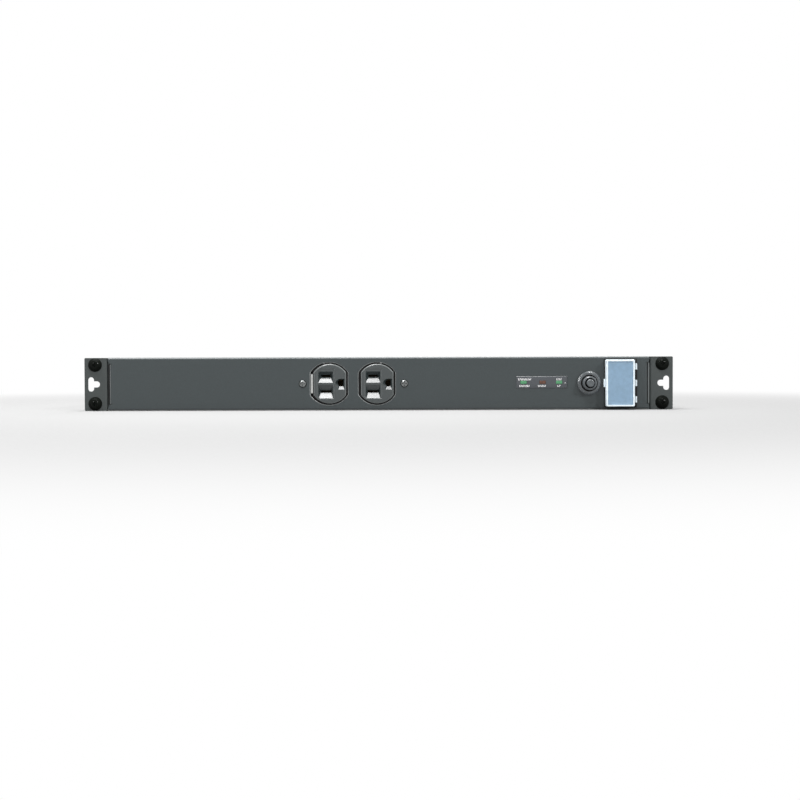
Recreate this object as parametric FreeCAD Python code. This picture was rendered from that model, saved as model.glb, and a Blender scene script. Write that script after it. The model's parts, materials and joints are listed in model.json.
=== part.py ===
import FreeCAD, Part
import math
import os

# A rack-mounted surge protector, one rack unit high, in millimetres.
# +X is to the right seen from the front, +Y runs to the rear and +Z is up.
# The origin is the centre of the rack screws, on the back faces of the ears.

V = FreeCAD.Vector
X_AXIS = V(1, 0, 0)
Y_AXIS = V(0, 1, 0)
Z_AXIS = V(0, 0, 1)
HALF_TURN = 180.0
HEX_SIDES = 6

# Case of folded sheet
CASE_WIDTH = 444.0
CASE_HEIGHT = 43.6
CASE_DEPTH = 101.6
SHEET = 1.2
BEND_RADIUS = 1.8  # outside of a fold
LAP_GAP = 0.15  # between two sheets that overlap
WALL_SETBACK = 0.6  # edge of a side wall behind the front face
FACE_PROUD = 0.8  # front face ahead of the faces of the ears
SIDE_TAB_HEIGHT = 33.0
SIDE_TAB_DEPTH = 32.0
TAB_RELIEF = 4.5  # slanting cut above and below a side tab
TAB_SLIT = 0.5  # width of that cut at the tab's outer face
TAB_RELIEF_REACH = 0.4  # that cut past the tab's bend
REAR_FLANGE = 12.0
CORNER_NOTCH = 0.6  # past the folds at a corner of the rear face

# Rack ears
EAR_REACH = 19.3  # out from the side of the case
EAR_SHEET = 2.0
EAR_BEND = 2.6
EAR_INSET = 0.15  # below the top of the case and above its bottom
EAR_LEG_DEPTH = 46.0
EAR_CORNER = 1.0
RACK_HOLE_INSET = 8.75  # from the outer edge of an ear
RACK_HOLE_PITCH = 31.75
TEE_WIDTH = 5.0
TEE_BAR_LENGTH = 11.7
TEE_BAR_INSET = 5.3  # from the outer edge of an ear to the middle of the bar
TEE_STEM_END = 12.6  # from the outer edge of an ear to the tip of the stem

# Screws
SCREW_PLAY = 0.05  # between a shank and the hole that holds it
HOLE_PLAY = 0.2  # between a shank and a hole it only passes through
RACK_SCREW_RADIUS = 3.0
RACK_HOLE_PLAY = 1.2
RACK_SCREW_LENGTH = 16.0
RACK_HEAD_RADIUS = 5.65
RACK_HEAD_HEIGHT = 3.6
EAR_SCREW_RADIUS = 2.0
EAR_SCREW_HEAD = 3.7
EAR_SCREW_PITCH = 24.0
EAR_SCREW_SETBACK = 20.0
CASE_SCREW_RADIUS = 1.5
CASE_SCREW_HEAD = 2.5
CASE_SCREW_COUNT = 4
SCREW_TIP = 0.6  # shank past the sheet it is driven into
OUTLET_SCREW_RADIUS = 1.7
OUTLET_SCREW_HEAD = 3.15
OUTLET_SCREW_RISE = 1.7
OUTLET_SCREW_LENGTH = 7.0
OUTLET_SCREW_OUT = 0.65  # past the middle of a strap's tab

# Duplex receptacle: two faces in one moulding
OUTLET_X = -20.6
OUTLET_PITCH = 38.9
OUTLET_RADIUS = 16.2
OUTLET_FLATS = 26.6
OUTLET_STAND = 1.2  # face ahead of the panel
OUTLET_EDGE = 0.7
OUTLET_GAP = 1.1  # between a face's round edge and the panel's cut-out
OUTLET_FLAT_GAP = 1.5  # between a face's flats and the panel's cut-out
OUTLET_SIDE_SLACK = 1.2  # more room on the outer side of the left-hand face
OUTLET_PLATE = 4.0
BASE_LENGTH = 66.4
BASE_HEIGHT = 33.4
BASE_DEPTH = 17.0
BASE_FLOOR = 2.5
BLADE_PITCH = 12.7
BLADE_OFFSET = -3.4  # slots from the middle of the face
SLOT_THICKNESS = 1.8
LINE_SLOT = 7.6
NEUTRAL_SLOT = 8.8
POCKET_WIDTH = 13.7
POCKET_HEIGHT = 24.0
POCKET_DEPTH = 0.4
POCKET_RIM = 1.5  # left of the face around the pocket
FUNNEL_WIDTH = 11.8
FUNNEL_DEPTH = 3.2
FUNNEL_BELOW = 5.5  # from a slot's middle down to its funnel's lower edge
LINE_FUNNEL_ABOVE = 3.7
NEUTRAL_FUNNEL_ABOVE = 5.6
GROUND_OFFSET = 8.6
GROUND_RADIUS = 3.0
GROUND_FLAT = 2.7
GROUND_MOUTH = 1.25  # funnel's growth round the hole
GROUND_MOUTH_FLAT = 0.9
GROUND_FUNNEL_DEPTH = 2.2

# Contacts in the receptacle
CONTACT_SHEET = 0.6
CONTACT_WEB = 0.8
CONTACT_HEIGHT = 10.0
BLADE_GAP = 1.6
BLADE_CONTACT = 7.0
GROUND_GAP = 5.0
GROUND_CONTACT = 5.0
CONTACT_PLAY = 0.3
RIVET_RADIUS = 1.2

# Receptacle strap, bent round the back of the base
STRAP_SHEET = 1.3
STRAP_LENGTH = 95.0
STRAP_WIDTH = 15.6
STRAP_BACK_WIDTH = 8.4
STRAP_GAP = 0.1

# Rear row of receptacles and cord gland
REAR_ROW_MARGIN = 3.0
REAR_STRAP_GAP = 1.5
GLAND_ZONE = 50.0  # kept free at the end of the row
GLAND_FROM_SIDE = 25.0
GLAND_THREAD_RADIUS = 9.0
GLAND_BORE_RADIUS = 5.2
GLAND_HEX = 22.0
GLAND_HEX_THICKNESS = 5.0
GLAND_CAP_LENGTH = 9.0
GLAND_CAP_TAPER = 1.5
GLAND_TAIL = 8.0
GLAND_NUT_THICKNESS = 4.0

# Switch with hinged cover
SWITCH_FROM_SIDE = 24.95
COVER_WIDTH = 23.3
COVER_HEIGHT = 38.2
COVER_DEPTH = 7.4
COVER_WALL = 1.4
COVER_CORNER = 1.0
COVER_RIM = 1.4
COVER_RECESS = 0.6
COVER_SEAT_GAP = 0.3
COVER_TAB_WIDTH = 1.4
COVER_TAB_HEIGHT = 6.7
COVER_TAB_THICKNESS = 1.6
COVER_BASE_THICKNESS = 1.6
COVER_BASE_MARGIN = 0.6
KNUCKLE_RADIUS = 1.2
KNUCKLE_LENGTH = 5.0
KNUCKLE_PITCH = 13.5
KNUCKLE_REACH = 1.5  # hinge axis from the side of the cover
KNUCKLE_GAP = 0.35
HINGE_PIN_RADIUS = 0.6
HINGE_PIN_PLAY = 0.08
BEZEL_WIDTH = 18.6
BEZEL_HEIGHT = 32.6
BEZEL_THICKNESS = 1.6
SWITCH_WIDTH = 16.6
SWITCH_HEIGHT = 28.4
SWITCH_DEPTH = 22.0
SWITCH_FIT = 0.1
ROCKER_WIDTH = 12.2
ROCKER_HALF = 11.6
ROCKER_SIDE_PLAY = 0.3
ROCKER_END_PLAY = 0.9
ROCKER_PIVOT_DEPTH = 3.5  # pivot behind the front of the bezel
ROCKER_RISE = 1.2  # rocker's ends ahead of the bezel when level
ROCKER_DIP = 0.5  # middle of the rocker below its ends
ROCKER_KEEL = 3.2
ROCKER_WELL = 8.0
ROCKER_TILT = 8.0
TRUNNION_RADIUS = 1.4
TRUNNION_LENGTH = 1.0
TRUNNION_PLAY = 0.1

# Terminal blades of breaker and switch
TERMINAL_SHEET = 0.8
TERMINAL_WIDTH = 6.3
TERMINAL_LENGTH = 8.0
TERMINAL_PITCH = 22.0

# Circuit breaker
BREAKER_FROM_SWITCH = 24.75
BREAKER_WIDTH = 15.0
BREAKER_HEIGHT = 31.0
BREAKER_DEPTH = 26.0
NECK_RADIUS = 5.7
NECK_LENGTH = 8.5
NECK_EDGE = 0.5
NECK_PLAY = 0.15
NECK_MOUTH = 1.0  # room round the button at the neck's front
NECK_MOUTH_DEPTH = 2.5
NUT_RADIUS = 9.75
NUT_GROOVE = 0.35
NUT_TEETH = 44
NUT_THICKNESS = 3.2
NUT_COUNTERBORE = 6.9
NUT_COUNTERBORE_DEPTH = 1.2
BUTTON_RADIUS = 3.1
BUTTON_PLAY = 0.15
BUTTON_REACH = 12.5
BUTTON_STEM = 6.0  # inside the panel's front face
BUTTON_EDGE = 0.7
BUTTON_TRAVEL_ROOM = 1.0

# Indicator window
INDICATOR_FROM_BREAKER = 38.7
INDICATOR_Z = 0.7
INDICATOR_WIDTH = 41.8
INDICATOR_HEIGHT = 9.8
INDICATOR_STAND = 0.6
INDICATOR_EDGE = 0.4
INDICATOR_FIT = 0.1
INDICATOR_FLANGE = 1.6
INDICATOR_BACK = 1.4
LED_OFFSETS = {"protection_led": -14.8, "fault_led": 0.8, "line_led": 14.3}
LED_WIDTH = 5.0
LED_HEIGHT = 2.6
LED_STAND = 0.3
LED_FIT = 0.08
POST_RADIUS = 1.4
POST_LENGTH = 5.0
BOARD_SHEET = 1.6

# Filter board
BOARD_MARGIN = 6.0
BOARD_FRONT_GAP = 8.0
BOARD_DEPTH = 54.0
STANDOFF_RADIUS = 3.0
STANDOFF_HEIGHT = 5.0
STANDOFF_INSET = 5.0
BOARD_SCREW_RADIUS = 1.4
BOARD_SCREW_HEAD = 2.8
BOARD_SCREW_RISE = 1.8
VARISTOR_RADIUS = 9.0
VARISTOR_THICKNESS = 5.0
VARISTOR_PITCH = 9.0
VARISTOR_COUNT = 3
VARISTOR_FOOT = 1.5
CAPACITOR_LENGTH = 26.0
CAPACITOR_WIDTH = 11.0
CAPACITOR_HEIGHT = 19.0
CAPACITOR_PITCH = 14.0
CAPACITOR_EDGE = 1.0
CHOKE_RADIUS = 13.0
CHOKE_BORE = 7.0
CHOKE_HEIGHT = 11.0
WINDING = 1.5
WINDING_ANGLE = 130.0
FUSE_RADIUS = 2.6
FUSE_LENGTH = 18.0
BLOCK_LENGTH = 14.0
BLOCK_DEPTH = 12.0
BLOCK_TOP_ABOVE_LINE = 3.5

# Wiring
WIRE_RADIUS = 1.5
BRANCH_RADIUS = 1.2
WIRE_PLAY = 0.15
WIRE_BEND = 6.0
STUD_RADIUS = 2.0
STUD_BASE_RADIUS = 4.0
STUD_BASE_HEIGHT = 2.5
STUD_HEIGHT = 9.0
STUD_FROM_ROW = 12.0

# Places that follow from the sizes above
HALF_WIDTH = CASE_WIDTH / 2
HALF_HEIGHT = CASE_HEIGHT / 2
FRONT_Y = -EAR_SHEET - FACE_PROUD
REAR_Y = FRONT_Y + CASE_DEPTH
INNER_Y = FRONT_Y + SHEET
TAB_X = HALF_WIDTH - SHEET - LAP_GAP
EAR_EDGE = HALF_WIDTH + EAR_REACH
EAR_HALF = HALF_HEIGHT - EAR_INSET
RACK_HOLE_X = EAR_EDGE - RACK_HOLE_INSET
FLOOR_Z = SHEET - HALF_HEIGHT
PAN_HALF = HALF_HEIGHT - SHEET - LAP_GAP
BASE_FRONT = SHEET + OUTLET_PLATE
BASE_BACK = BASE_FRONT + BASE_DEPTH
CONTACT_FLOOR = BASE_BACK - BASE_FLOOR
FACE_CENTRES = (-OUTLET_PITCH / 2, OUTLET_PITCH / 2)
LEG_OUTSIDE = BASE_LENGTH / 2 + STRAP_GAP + STRAP_SHEET
OUTLET_SCREW_X = (LEG_OUTSIDE + STRAP_LENGTH / 2) / 2 + OUTLET_SCREW_OUT
LINE_W = BLADE_PITCH / 2
REAR_PITCH = STRAP_LENGTH + REAR_STRAP_GAP
REAR_COUNT = int((CASE_WIDTH - 2 * SHEET - REAR_ROW_MARGIN - GLAND_ZONE) // REAR_PITCH)
REAR_FIRST_X = -HALF_WIDTH + SHEET + REAR_ROW_MARGIN + REAR_PITCH / 2
REAR_CENTRES = [REAR_FIRST_X + REAR_PITCH * i for i in range(REAR_COUNT)]
BUS_Y = REAR_Y - BASE_BACK - STRAP_SHEET - WIRE_RADIUS
SWITCH_X = HALF_WIDTH - SWITCH_FROM_SIDE
BREAKER_X = SWITCH_X - BREAKER_FROM_SWITCH
INDICATOR_X = BREAKER_X - INDICATOR_FROM_BREAKER
GLAND_X = HALF_WIDTH - SHEET - GLAND_FROM_SIDE
COVER_SEAT_Y = FRONT_Y - COVER_BASE_THICKNESS
BEZEL_Y = COVER_SEAT_Y - BEZEL_THICKNESS
HINGE_X = SWITCH_X + COVER_WIDTH / 2 + KNUCKLE_REACH
HINGE_Y = COVER_SEAT_Y - COVER_SEAT_GAP - KNUCKLE_RADIUS
ROCKER_Y = BEZEL_Y + ROCKER_PIVOT_DEPTH
BOARD_X0 = -TAB_X + SHEET + BOARD_MARGIN
BOARD_X1 = OUTLET_X - STRAP_LENGTH / 2 - BOARD_MARGIN
BOARD_Y0 = INNER_Y + BOARD_FRONT_GAP
BOARD_Z = FLOOR_Z + STANDOFF_HEIGHT
BOARD_TOP = BOARD_Z + BOARD_SHEET
BLOCK_Y = BOARD_Y0 + BOARD_DEPTH - 2 * STANDOFF_INSET - BLOCK_DEPTH / 2
BLOCK_X = BOARD_X1 - STANDOFF_INSET - BLOCK_LENGTH
TOLERANCE = 1e-4
OVERCUT = 1.0  # a cutter's reach past the face it opens


def box(x0, x1, y0, y1, z0, z1):
    return Part.makeBox(x1 - x0, y1 - y0, z1 - z0, V(x0, y0, z0))


def block(x, z, width, height, y0, y1):
    """A box centred on x and z that runs from y0 to y1."""
    return box(x - width / 2, x + width / 2, y0, y1, z - height / 2, z + height / 2)


def rod(radius, start, end):
    along = end - start
    return Part.makeCylinder(radius, along.Length, start, along)


def bore_y(radius, x, z, y0, y1):
    return rod(radius, V(x, y0, z), V(x, y1, z))


def fuse(shapes):
    return shapes[0].multiFuse(shapes[1:]).removeSplitter()


def rounded(shape, radius, wanted):
    """Fillets the edges whose bounding box passes the test."""
    return shape.makeFillet(radius, [e for e in shape.Edges if wanted(e.BoundBox)])


def bevelled(shape, size, wanted):
    return shape.makeChamfer(size, [e for e in shape.Edges if wanted(e.BoundBox)])


def same(a, b):
    return abs(a - b) < TOLERANCE


def lies_at_y(y):
    return lambda b: same(b.YMin, y) and same(b.YMax, y)


def runs_along_y(b):
    return b.YLength > TOLERANCE and b.XLength < TOLERANCE and b.ZLength < TOLERANCE


def upright_at(x, y):
    return lambda b: same(b.XMin, x) and same(b.XMax, x) and same(b.YMin, y) and same(b.YMax, y)


def mirrored(shape):
    return shape.mirror(V(0, 0, 0), X_AXIS)


def pan_head(seat, into, head_radius, rise, radius, length):
    """A screw with a domed head that stands on the seat, its shank going into the work."""
    sphere_radius = (head_radius ** 2 + rise ** 2) / (2 * rise)
    dome = Part.makeSphere(sphere_radius, seat + into * (sphere_radius - rise))
    head = dome.common(Part.makeCylinder(head_radius, rise, seat - into * rise, into))
    return fuse([head, Part.makeCylinder(radius, length, seat, into)])


def flat_head(top, into, head_radius, radius, length):
    """A countersunk screw whose head ends flush with the top."""
    head = Part.makeCone(head_radius, radius, head_radius - radius, top, into)
    return fuse([head, Part.makeCylinder(radius, length, top, into)])


def sunk_hole(top, into, head_radius, radius, length):
    start = top - into * TOLERANCE
    head = Part.makeCone(head_radius, radius, head_radius - radius, start, into)
    return head.fuse(Part.makeCylinder(radius, length, start, into))


def prism_y(points, y0, y1):
    """A straight-sided prism from x, z corners."""
    corners = [V(x, y0, z) for x, z in points]
    return Part.Face(Part.makePolygon(corners + corners[:1])).extrude(V(0, y1 - y0, 0))


def prism_x(points, x0, x1):
    """A straight-sided prism from y, z corners."""
    corners = [V(x0, y, z) for y, z in points]
    return Part.Face(Part.makePolygon(corners + corners[:1])).extrude(V(x1 - x0, 0, 0))


def hexagon_y(across, x, z, y0, y1):
    radius = across / 2 / math.cos(math.pi / HEX_SIDES)
    turns = [2 * math.pi * i / HEX_SIDES for i in range(HEX_SIDES)]
    return prism_y([(x + radius * math.cos(t), z + radius * math.sin(t)) for t in turns], y0, y1)


def face_prism(radius, flats, x, y0, y1):
    """The outline of a receptacle face: a circle with a flat at each side."""
    return bore_y(radius, x, 0, y0, y1).common(block(x, 0, flats, 2 * radius, y0, y1))


def ground_outline(radius, flat, x, y):
    """The D of a ground hole, round toward the slots."""
    arc = Part.Arc(V(x, y, radius), V(x - radius, y, 0), V(x, y, -radius)).toShape()
    corners = [V(x, y, -radius), V(x + flat, y, -radius), V(x + flat, y, radius), V(x, y, radius)]
    sides = [Part.makeLine(a, b) for a, b in zip(corners, corners[1:])]
    return Part.Wire([arc] + sides)


def rectangle_loop(x0, x1, z0, z1, y):
    corners = [V(x0, y, z0), V(x1, y, z0), V(x1, y, z1), V(x0, y, z1)]
    return Part.makePolygon(corners + corners[:1])


def slot_funnel(x, slot_z, slot_length, above, floor_y):
    """A tapered mouth that leads down to a blade slot, and the slot."""
    half = FUNNEL_WIDTH / 2
    mouth = rectangle_loop(x - half, x + half, slot_z - FUNNEL_BELOW, slot_z + above, floor_y)
    thin = SLOT_THICKNESS / 2
    end_y = floor_y + FUNNEL_DEPTH
    throat = rectangle_loop(
        x - slot_length / 2, x + slot_length / 2, slot_z - thin, slot_z + thin, end_y
    )
    slot = block(x, slot_z, slot_length, SLOT_THICKNESS, end_y, BASE_FRONT)
    return Part.makeLoft([mouth, throat], True, True).fuse(slot)


def ground_opening(x):
    start = -OUTLET_STAND
    end = start + GROUND_FUNNEL_DEPTH
    mouth = ground_outline(GROUND_RADIUS + GROUND_MOUTH, GROUND_FLAT + GROUND_MOUTH_FLAT, x, start)
    throat = ground_outline(GROUND_RADIUS, GROUND_FLAT, x, end)
    funnel = Part.makeLoft([mouth, throat], True, True)
    hole = Part.Face(throat).extrude(V(0, BASE_FRONT - end, 0))
    return funnel.fuse(hole)


def outlet_face():
    """Front moulding of a receptacle, with y = 0 on the outer face of its panel."""
    plate = block(0, 0, BASE_LENGTH, BASE_HEIGHT, SHEET, BASE_FRONT)
    pieces = [plate]
    cutters = []
    for x in FACE_CENTRES:
        face = face_prism(OUTLET_RADIUS, OUTLET_FLATS, x, -OUTLET_STAND, SHEET)
        pieces.append(rounded(face, OUTLET_EDGE, lies_at_y(-OUTLET_STAND)))
        limit = bore_y(OUTLET_RADIUS - POCKET_RIM, x, 0, -OUTLET_STAND, BASE_FRONT)
        slot_x = x + BLADE_OFFSET
        floor_y = POCKET_DEPTH - OUTLET_STAND
        pocket = block(slot_x, 0, POCKET_WIDTH, POCKET_HEIGHT, -OUTLET_STAND, floor_y)
        cutters.append(pocket.common(limit))
        cutters.append(slot_funnel(slot_x, LINE_W, LINE_SLOT, LINE_FUNNEL_ABOVE, floor_y).common(limit))
        cutters.append(
            slot_funnel(slot_x, -LINE_W, NEUTRAL_SLOT, NEUTRAL_FUNNEL_ABOVE, floor_y).common(limit)
        )
        cutters.append(ground_opening(x + GROUND_OFFSET))
    return fuse(pieces).cut(Part.makeCompound(cutters))


def contact_spans(offset, length):
    """Where a contact strip runs from its first to its last face."""
    return FACE_CENTRES[0] + offset - length / 2, FACE_CENTRES[-1] + offset + length / 2


def strip_half(gap):
    return gap / 2 + CONTACT_SHEET


def outlet_base():
    """Rear moulding of a receptacle, with a channel for each contact strip."""
    shape = block(0, 0, BASE_LENGTH, BASE_HEIGHT, BASE_FRONT, BASE_BACK)
    cutters = []
    blade_half = strip_half(BLADE_GAP) + CONTACT_PLAY
    blade_x0, blade_x1 = contact_spans(BLADE_OFFSET, NEUTRAL_SLOT + CONTACT_PLAY)
    for w in (LINE_W, -LINE_W):
        cutters.append(box(blade_x0, blade_x1, BASE_FRONT, CONTACT_FLOOR, w - blade_half, w + blade_half))
        cutters.append(bore_y(BRANCH_RADIUS + WIRE_PLAY, BLADE_OFFSET, w, CONTACT_FLOOR, BASE_BACK))
    ground_half = strip_half(GROUND_GAP) + CONTACT_PLAY / 2
    ground_x0, ground_x1 = contact_spans(GROUND_OFFSET, 2 * GROUND_RADIUS + CONTACT_PLAY)
    cutters.append(box(ground_x0, ground_x1, BASE_FRONT, CONTACT_FLOOR, -ground_half, ground_half))
    cutters.append(bore_y(RIVET_RADIUS + SCREW_PLAY, GROUND_OFFSET, 0, CONTACT_FLOOR, BASE_BACK))
    return shape.cut(Part.makeCompound(cutters))


def contact_strip(w, offset, gap, length):
    """A strip on the channel's floor with a pair of leaves behind each face."""
    half = strip_half(gap)
    x0, x1 = contact_spans(offset, length)
    web_y = CONTACT_FLOOR - CONTACT_WEB
    pieces = [box(x0, x1, web_y, CONTACT_FLOOR, w - half, w + half)]
    for x in FACE_CENTRES:
        for side in (-1, 1):
            leaf_w = w + side * (gap + CONTACT_SHEET) / 2
            pieces.append(block(x + offset, leaf_w, length, CONTACT_SHEET, web_y - CONTACT_HEIGHT, web_y))
    return fuse(pieces)


def outlet_contacts():
    line = contact_strip(LINE_W, BLADE_OFFSET, BLADE_GAP, BLADE_CONTACT)
    neutral = contact_strip(-LINE_W, BLADE_OFFSET, BLADE_GAP, BLADE_CONTACT)
    ground = contact_strip(0, GROUND_OFFSET, GROUND_GAP, GROUND_CONTACT)
    rivet = bore_y(RIVET_RADIUS, GROUND_OFFSET, 0, CONTACT_FLOOR, BASE_BACK)
    return Part.makeCompound([line, neutral, fuse([ground, rivet])])


def outlet_strap():
    """Steel strap: a tab at each end, two legs and a bar behind the base."""
    inner = LEG_OUTSIDE - STRAP_SHEET
    back = BASE_BACK + STRAP_SHEET
    pieces = [block(0, 0, 2 * LEG_OUTSIDE, STRAP_BACK_WIDTH, BASE_BACK, back)]
    holes = []
    for side in (-1, 1):
        leg_x = side * (inner + LEG_OUTSIDE) / 2
        pieces.append(block(leg_x, 0, STRAP_SHEET, STRAP_WIDTH, SHEET, back))
        tab_x = side * (inner + STRAP_LENGTH / 2) / 2
        tab_length = STRAP_LENGTH / 2 - inner
        pieces.append(block(tab_x, 0, tab_length, STRAP_WIDTH, SHEET, SHEET + STRAP_SHEET))
        holes.append(bore_y(OUTLET_SCREW_RADIUS + SCREW_PLAY, side * OUTLET_SCREW_X, 0, 0, BASE_FRONT))
    return fuse(pieces).cut(Part.makeCompound(holes))


def outlet_screws():
    places = [V(side * OUTLET_SCREW_X, 0, 0) for side in (-1, 1)]
    return [
        pan_head(
            p, Y_AXIS, OUTLET_SCREW_HEAD, OUTLET_SCREW_RISE, OUTLET_SCREW_RADIUS, OUTLET_SCREW_LENGTH
        )
        for p in places
    ]


def outlet_cutouts(slack):
    """Openings in a panel for one receptacle; slack widens the left-hand one at its outer side."""
    radius = OUTLET_RADIUS + OUTLET_GAP
    flats = OUTLET_FLATS + 2 * OUTLET_FLAT_GAP
    y0 = -OVERCUT
    y1 = SHEET + OVERCUT
    cutters = [face_prism(radius, flats, x, y0, y1) for x in FACE_CENTRES]
    if slack > 0:
        moved = FACE_CENTRES[0] - slack
        cutters.append(face_prism(radius, flats, moved, y0, y1))
        cutters.append(box(moved, FACE_CENTRES[0], y0, y1, -radius, radius))
    for side in (-1, 1):
        cutters.append(bore_y(OUTLET_SCREW_RADIUS + HOLE_PLAY, side * OUTLET_SCREW_X, 0, y0, y1))
    return cutters


def at_front(shape):
    return shape.translated(V(OUTLET_X, FRONT_Y, 0))


def at_rear(shape, x):
    return shape.rotated(V(0, 0, 0), Z_AXIS, HALF_TURN).translated(V(x, REAR_Y, 0))


def case_screw_places():
    pitch = CASE_WIDTH / CASE_SCREW_COUNT
    y = REAR_Y - REAR_FLANGE / 2
    return [V(-HALF_WIDTH + pitch * (i + 0.5), y, HALF_HEIGHT) for i in range(CASE_SCREW_COUNT)]


def side_screw_place():
    """Place of the screw that holds the right-hand wall to the rear face's flange."""
    return V(HALF_WIDTH, REAR_Y - REAR_FLANGE / 2, 0)


def case_screw_length():
    return 2 * SHEET + LAP_GAP + SCREW_TIP


def ear_screw_places():
    """Places of the screws on the outer side of the right-hand ear."""
    x = HALF_WIDTH + EAR_SHEET
    return [V(x, EAR_SCREW_SETBACK, side * EAR_SCREW_PITCH / 2) for side in (-1, 1)]


def ear_screw_length():
    return EAR_SHEET + 2 * SHEET + LAP_GAP + SCREW_TIP


def channel_profile(x0, x1, y0, y1, half, open_rear):
    """A folded channel along X, its web at the front or the rear."""
    web_y = y0 if open_rear else y1
    outer = rounded(
        box(x0, x1, y0, y1, -half, half),
        BEND_RADIUS,
        lambda b: b.XLength > TOLERANCE and lies_at_y(web_y)(b),
    )
    inner_y0 = y0 + SHEET if open_rear else y0 - OVERCUT
    inner_y1 = y1 + OVERCUT if open_rear else y1 - SHEET
    inner_web = inner_y0 if open_rear else inner_y1
    inner = rounded(
        box(x0 - OVERCUT, x1 + OVERCUT, inner_y0, inner_y1, SHEET - half, half - SHEET),
        BEND_RADIUS - SHEET,
        lambda b: b.XLength > TOLERANCE and lies_at_y(inner_web)(b),
    )
    return outer.cut(inner)


def side_tab():
    """Right-hand edge of the front face, folded back inside the case's side."""
    half = SIDE_TAB_HEIGHT / 2
    x0 = TAB_X - 2 * BEND_RADIUS
    y1 = FRONT_Y + SIDE_TAB_DEPTH
    outer = rounded(box(x0, TAB_X, FRONT_Y, y1, -half, half), BEND_RADIUS, upright_at(TAB_X, FRONT_Y))
    inner_x = TAB_X - SHEET
    inner = rounded(
        box(x0 - OVERCUT, inner_x, INNER_Y, y1 + OVERCUT, -HALF_HEIGHT, HALF_HEIGHT),
        BEND_RADIUS - SHEET,
        upright_at(inner_x, INNER_Y),
    )
    return outer.cut(inner)


def side_notch():
    """What the front face loses beside a side tab."""
    half = SIDE_TAB_HEIGHT / 2
    x0 = TAB_X - BEND_RADIUS - TAB_RELIEF_REACH
    x1 = HALF_WIDTH + OVERCUT
    upper = [(x1, half + TAB_RELIEF), (TAB_X, half + TAB_SLIT), (x0, half)]
    corners = [(x, -z) for x, z in reversed(upper)] + upper
    return prism_y(corners, FRONT_Y - OVERCUT, INNER_Y)


def front_cutouts():
    y0 = FRONT_Y - OVERCUT
    y1 = INNER_Y + OVERCUT
    cutters = [at_front(c) for c in outlet_cutouts(OUTLET_SIDE_SLACK)]
    cutters.append(block(INDICATOR_X, INDICATOR_Z, INDICATOR_WIDTH, INDICATOR_HEIGHT, y0, y1))
    cutters.append(bore_y(NECK_RADIUS + NECK_PLAY, BREAKER_X, 0, y0, y1))
    fit = 2 * SWITCH_FIT
    cutters.append(block(SWITCH_X, 0, SWITCH_WIDTH + fit, SWITCH_HEIGHT + fit, y0, y1))
    return cutters


def front_shell():
    """Front face with top and bottom sheets, in one folded piece."""
    shape = channel_profile(-HALF_WIDTH, HALF_WIDTH, FRONT_Y, REAR_Y, HALF_HEIGHT, True)
    notch = side_notch()
    tab = side_tab()
    shape = fuse([shape.cut(Part.makeCompound([notch, mirrored(notch)])), tab, mirrored(tab)])
    cutters = front_cutouts()
    for p in case_screw_places():
        radius = CASE_SCREW_RADIUS + SCREW_PLAY
        cutters.append(sunk_hole(p, -Z_AXIS, CASE_SCREW_HEAD + SCREW_PLAY, radius, SHEET + OVERCUT))
    for p in ear_screw_places():
        hole = rod(EAR_SCREW_RADIUS + SCREW_PLAY, p, p - X_AXIS * (ear_screw_length() + OVERCUT))
        cutters += [hole, mirrored(hole)]
    return shape.cut(Part.makeCompound(cutters))


def rear_shell():
    """Rear face with a flange folded forward on each edge and a notch at each corner."""
    notch = BEND_RADIUS + CORNER_NOTCH
    y0 = REAR_Y - REAR_FLANGE
    across = channel_profile(notch - TAB_X, TAB_X - notch, y0, REAR_Y, PAN_HALF, False)
    upright = channel_profile(notch - PAN_HALF, PAN_HALF - notch, y0, REAR_Y, TAB_X, False)
    upright = upright.rotated(V(0, 0, 0), Y_AXIS, HALF_TURN / 2)
    cutters = []
    for x in REAR_CENTRES:
        cutters += [at_rear(c, x) for c in outlet_cutouts(0)]
    y1 = REAR_Y + OVERCUT
    cutters.append(bore_y(GLAND_THREAD_RADIUS + HOLE_PLAY, GLAND_X, 0, REAR_Y - SHEET - OVERCUT, y1))
    radius = CASE_SCREW_RADIUS + SCREW_PLAY
    for p in case_screw_places():
        cutters.append(rod(radius, p, p - Z_AXIS * HALF_HEIGHT))
    side = side_screw_place()
    hole = rod(radius, side, side - X_AXIS * (case_screw_length() + OVERCUT))
    cutters += [hole, mirrored(hole)]
    return fuse([across, upright]).cut(Part.makeCompound(cutters))


def side_wall():
    """Right-hand end of the case, outside the folded edges, with a tongue that fills the front seam."""
    front = FRONT_Y + BEND_RADIUS + LAP_GAP
    wall = box(HALF_WIDTH - SHEET, HALF_WIDTH, front, REAR_Y, -PAN_HALF, PAN_HALF)
    half = SIDE_TAB_HEIGHT / 2
    tongue = box(HALF_WIDTH - SHEET, HALF_WIDTH, FRONT_Y + WALL_SETBACK, front, -half, half)
    head = CASE_SCREW_HEAD + SCREW_PLAY
    radius = CASE_SCREW_RADIUS + SCREW_PLAY
    cutters = [sunk_hole(side_screw_place(), -X_AXIS, head, radius, SHEET + OVERCUT)]
    for p in ear_screw_places():
        cutters.append(rod(EAR_SCREW_RADIUS + SCREW_PLAY, p, p - X_AXIS * ear_screw_length()))
    return fuse([wall, tongue]).cut(Part.makeCompound(cutters))


def long_hole(x0, z0, x1, z1, width):
    """A round-ended hole through an ear, between the centres of its two ends."""
    y0 = -EAR_SHEET - OVERCUT
    y1 = OVERCUT
    ends = [bore_y(width / 2, x, z, y0, y1) for x, z in ((x0, z0), (x1, z1))]
    if same(x0, x1):
        middle = box(x0 - width / 2, x0 + width / 2, y0, y1, z0, z1)
    else:
        middle = box(x0, x1, y0, y1, z0 - width / 2, z0 + width / 2)
    return fuse(ends + [middle])


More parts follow.
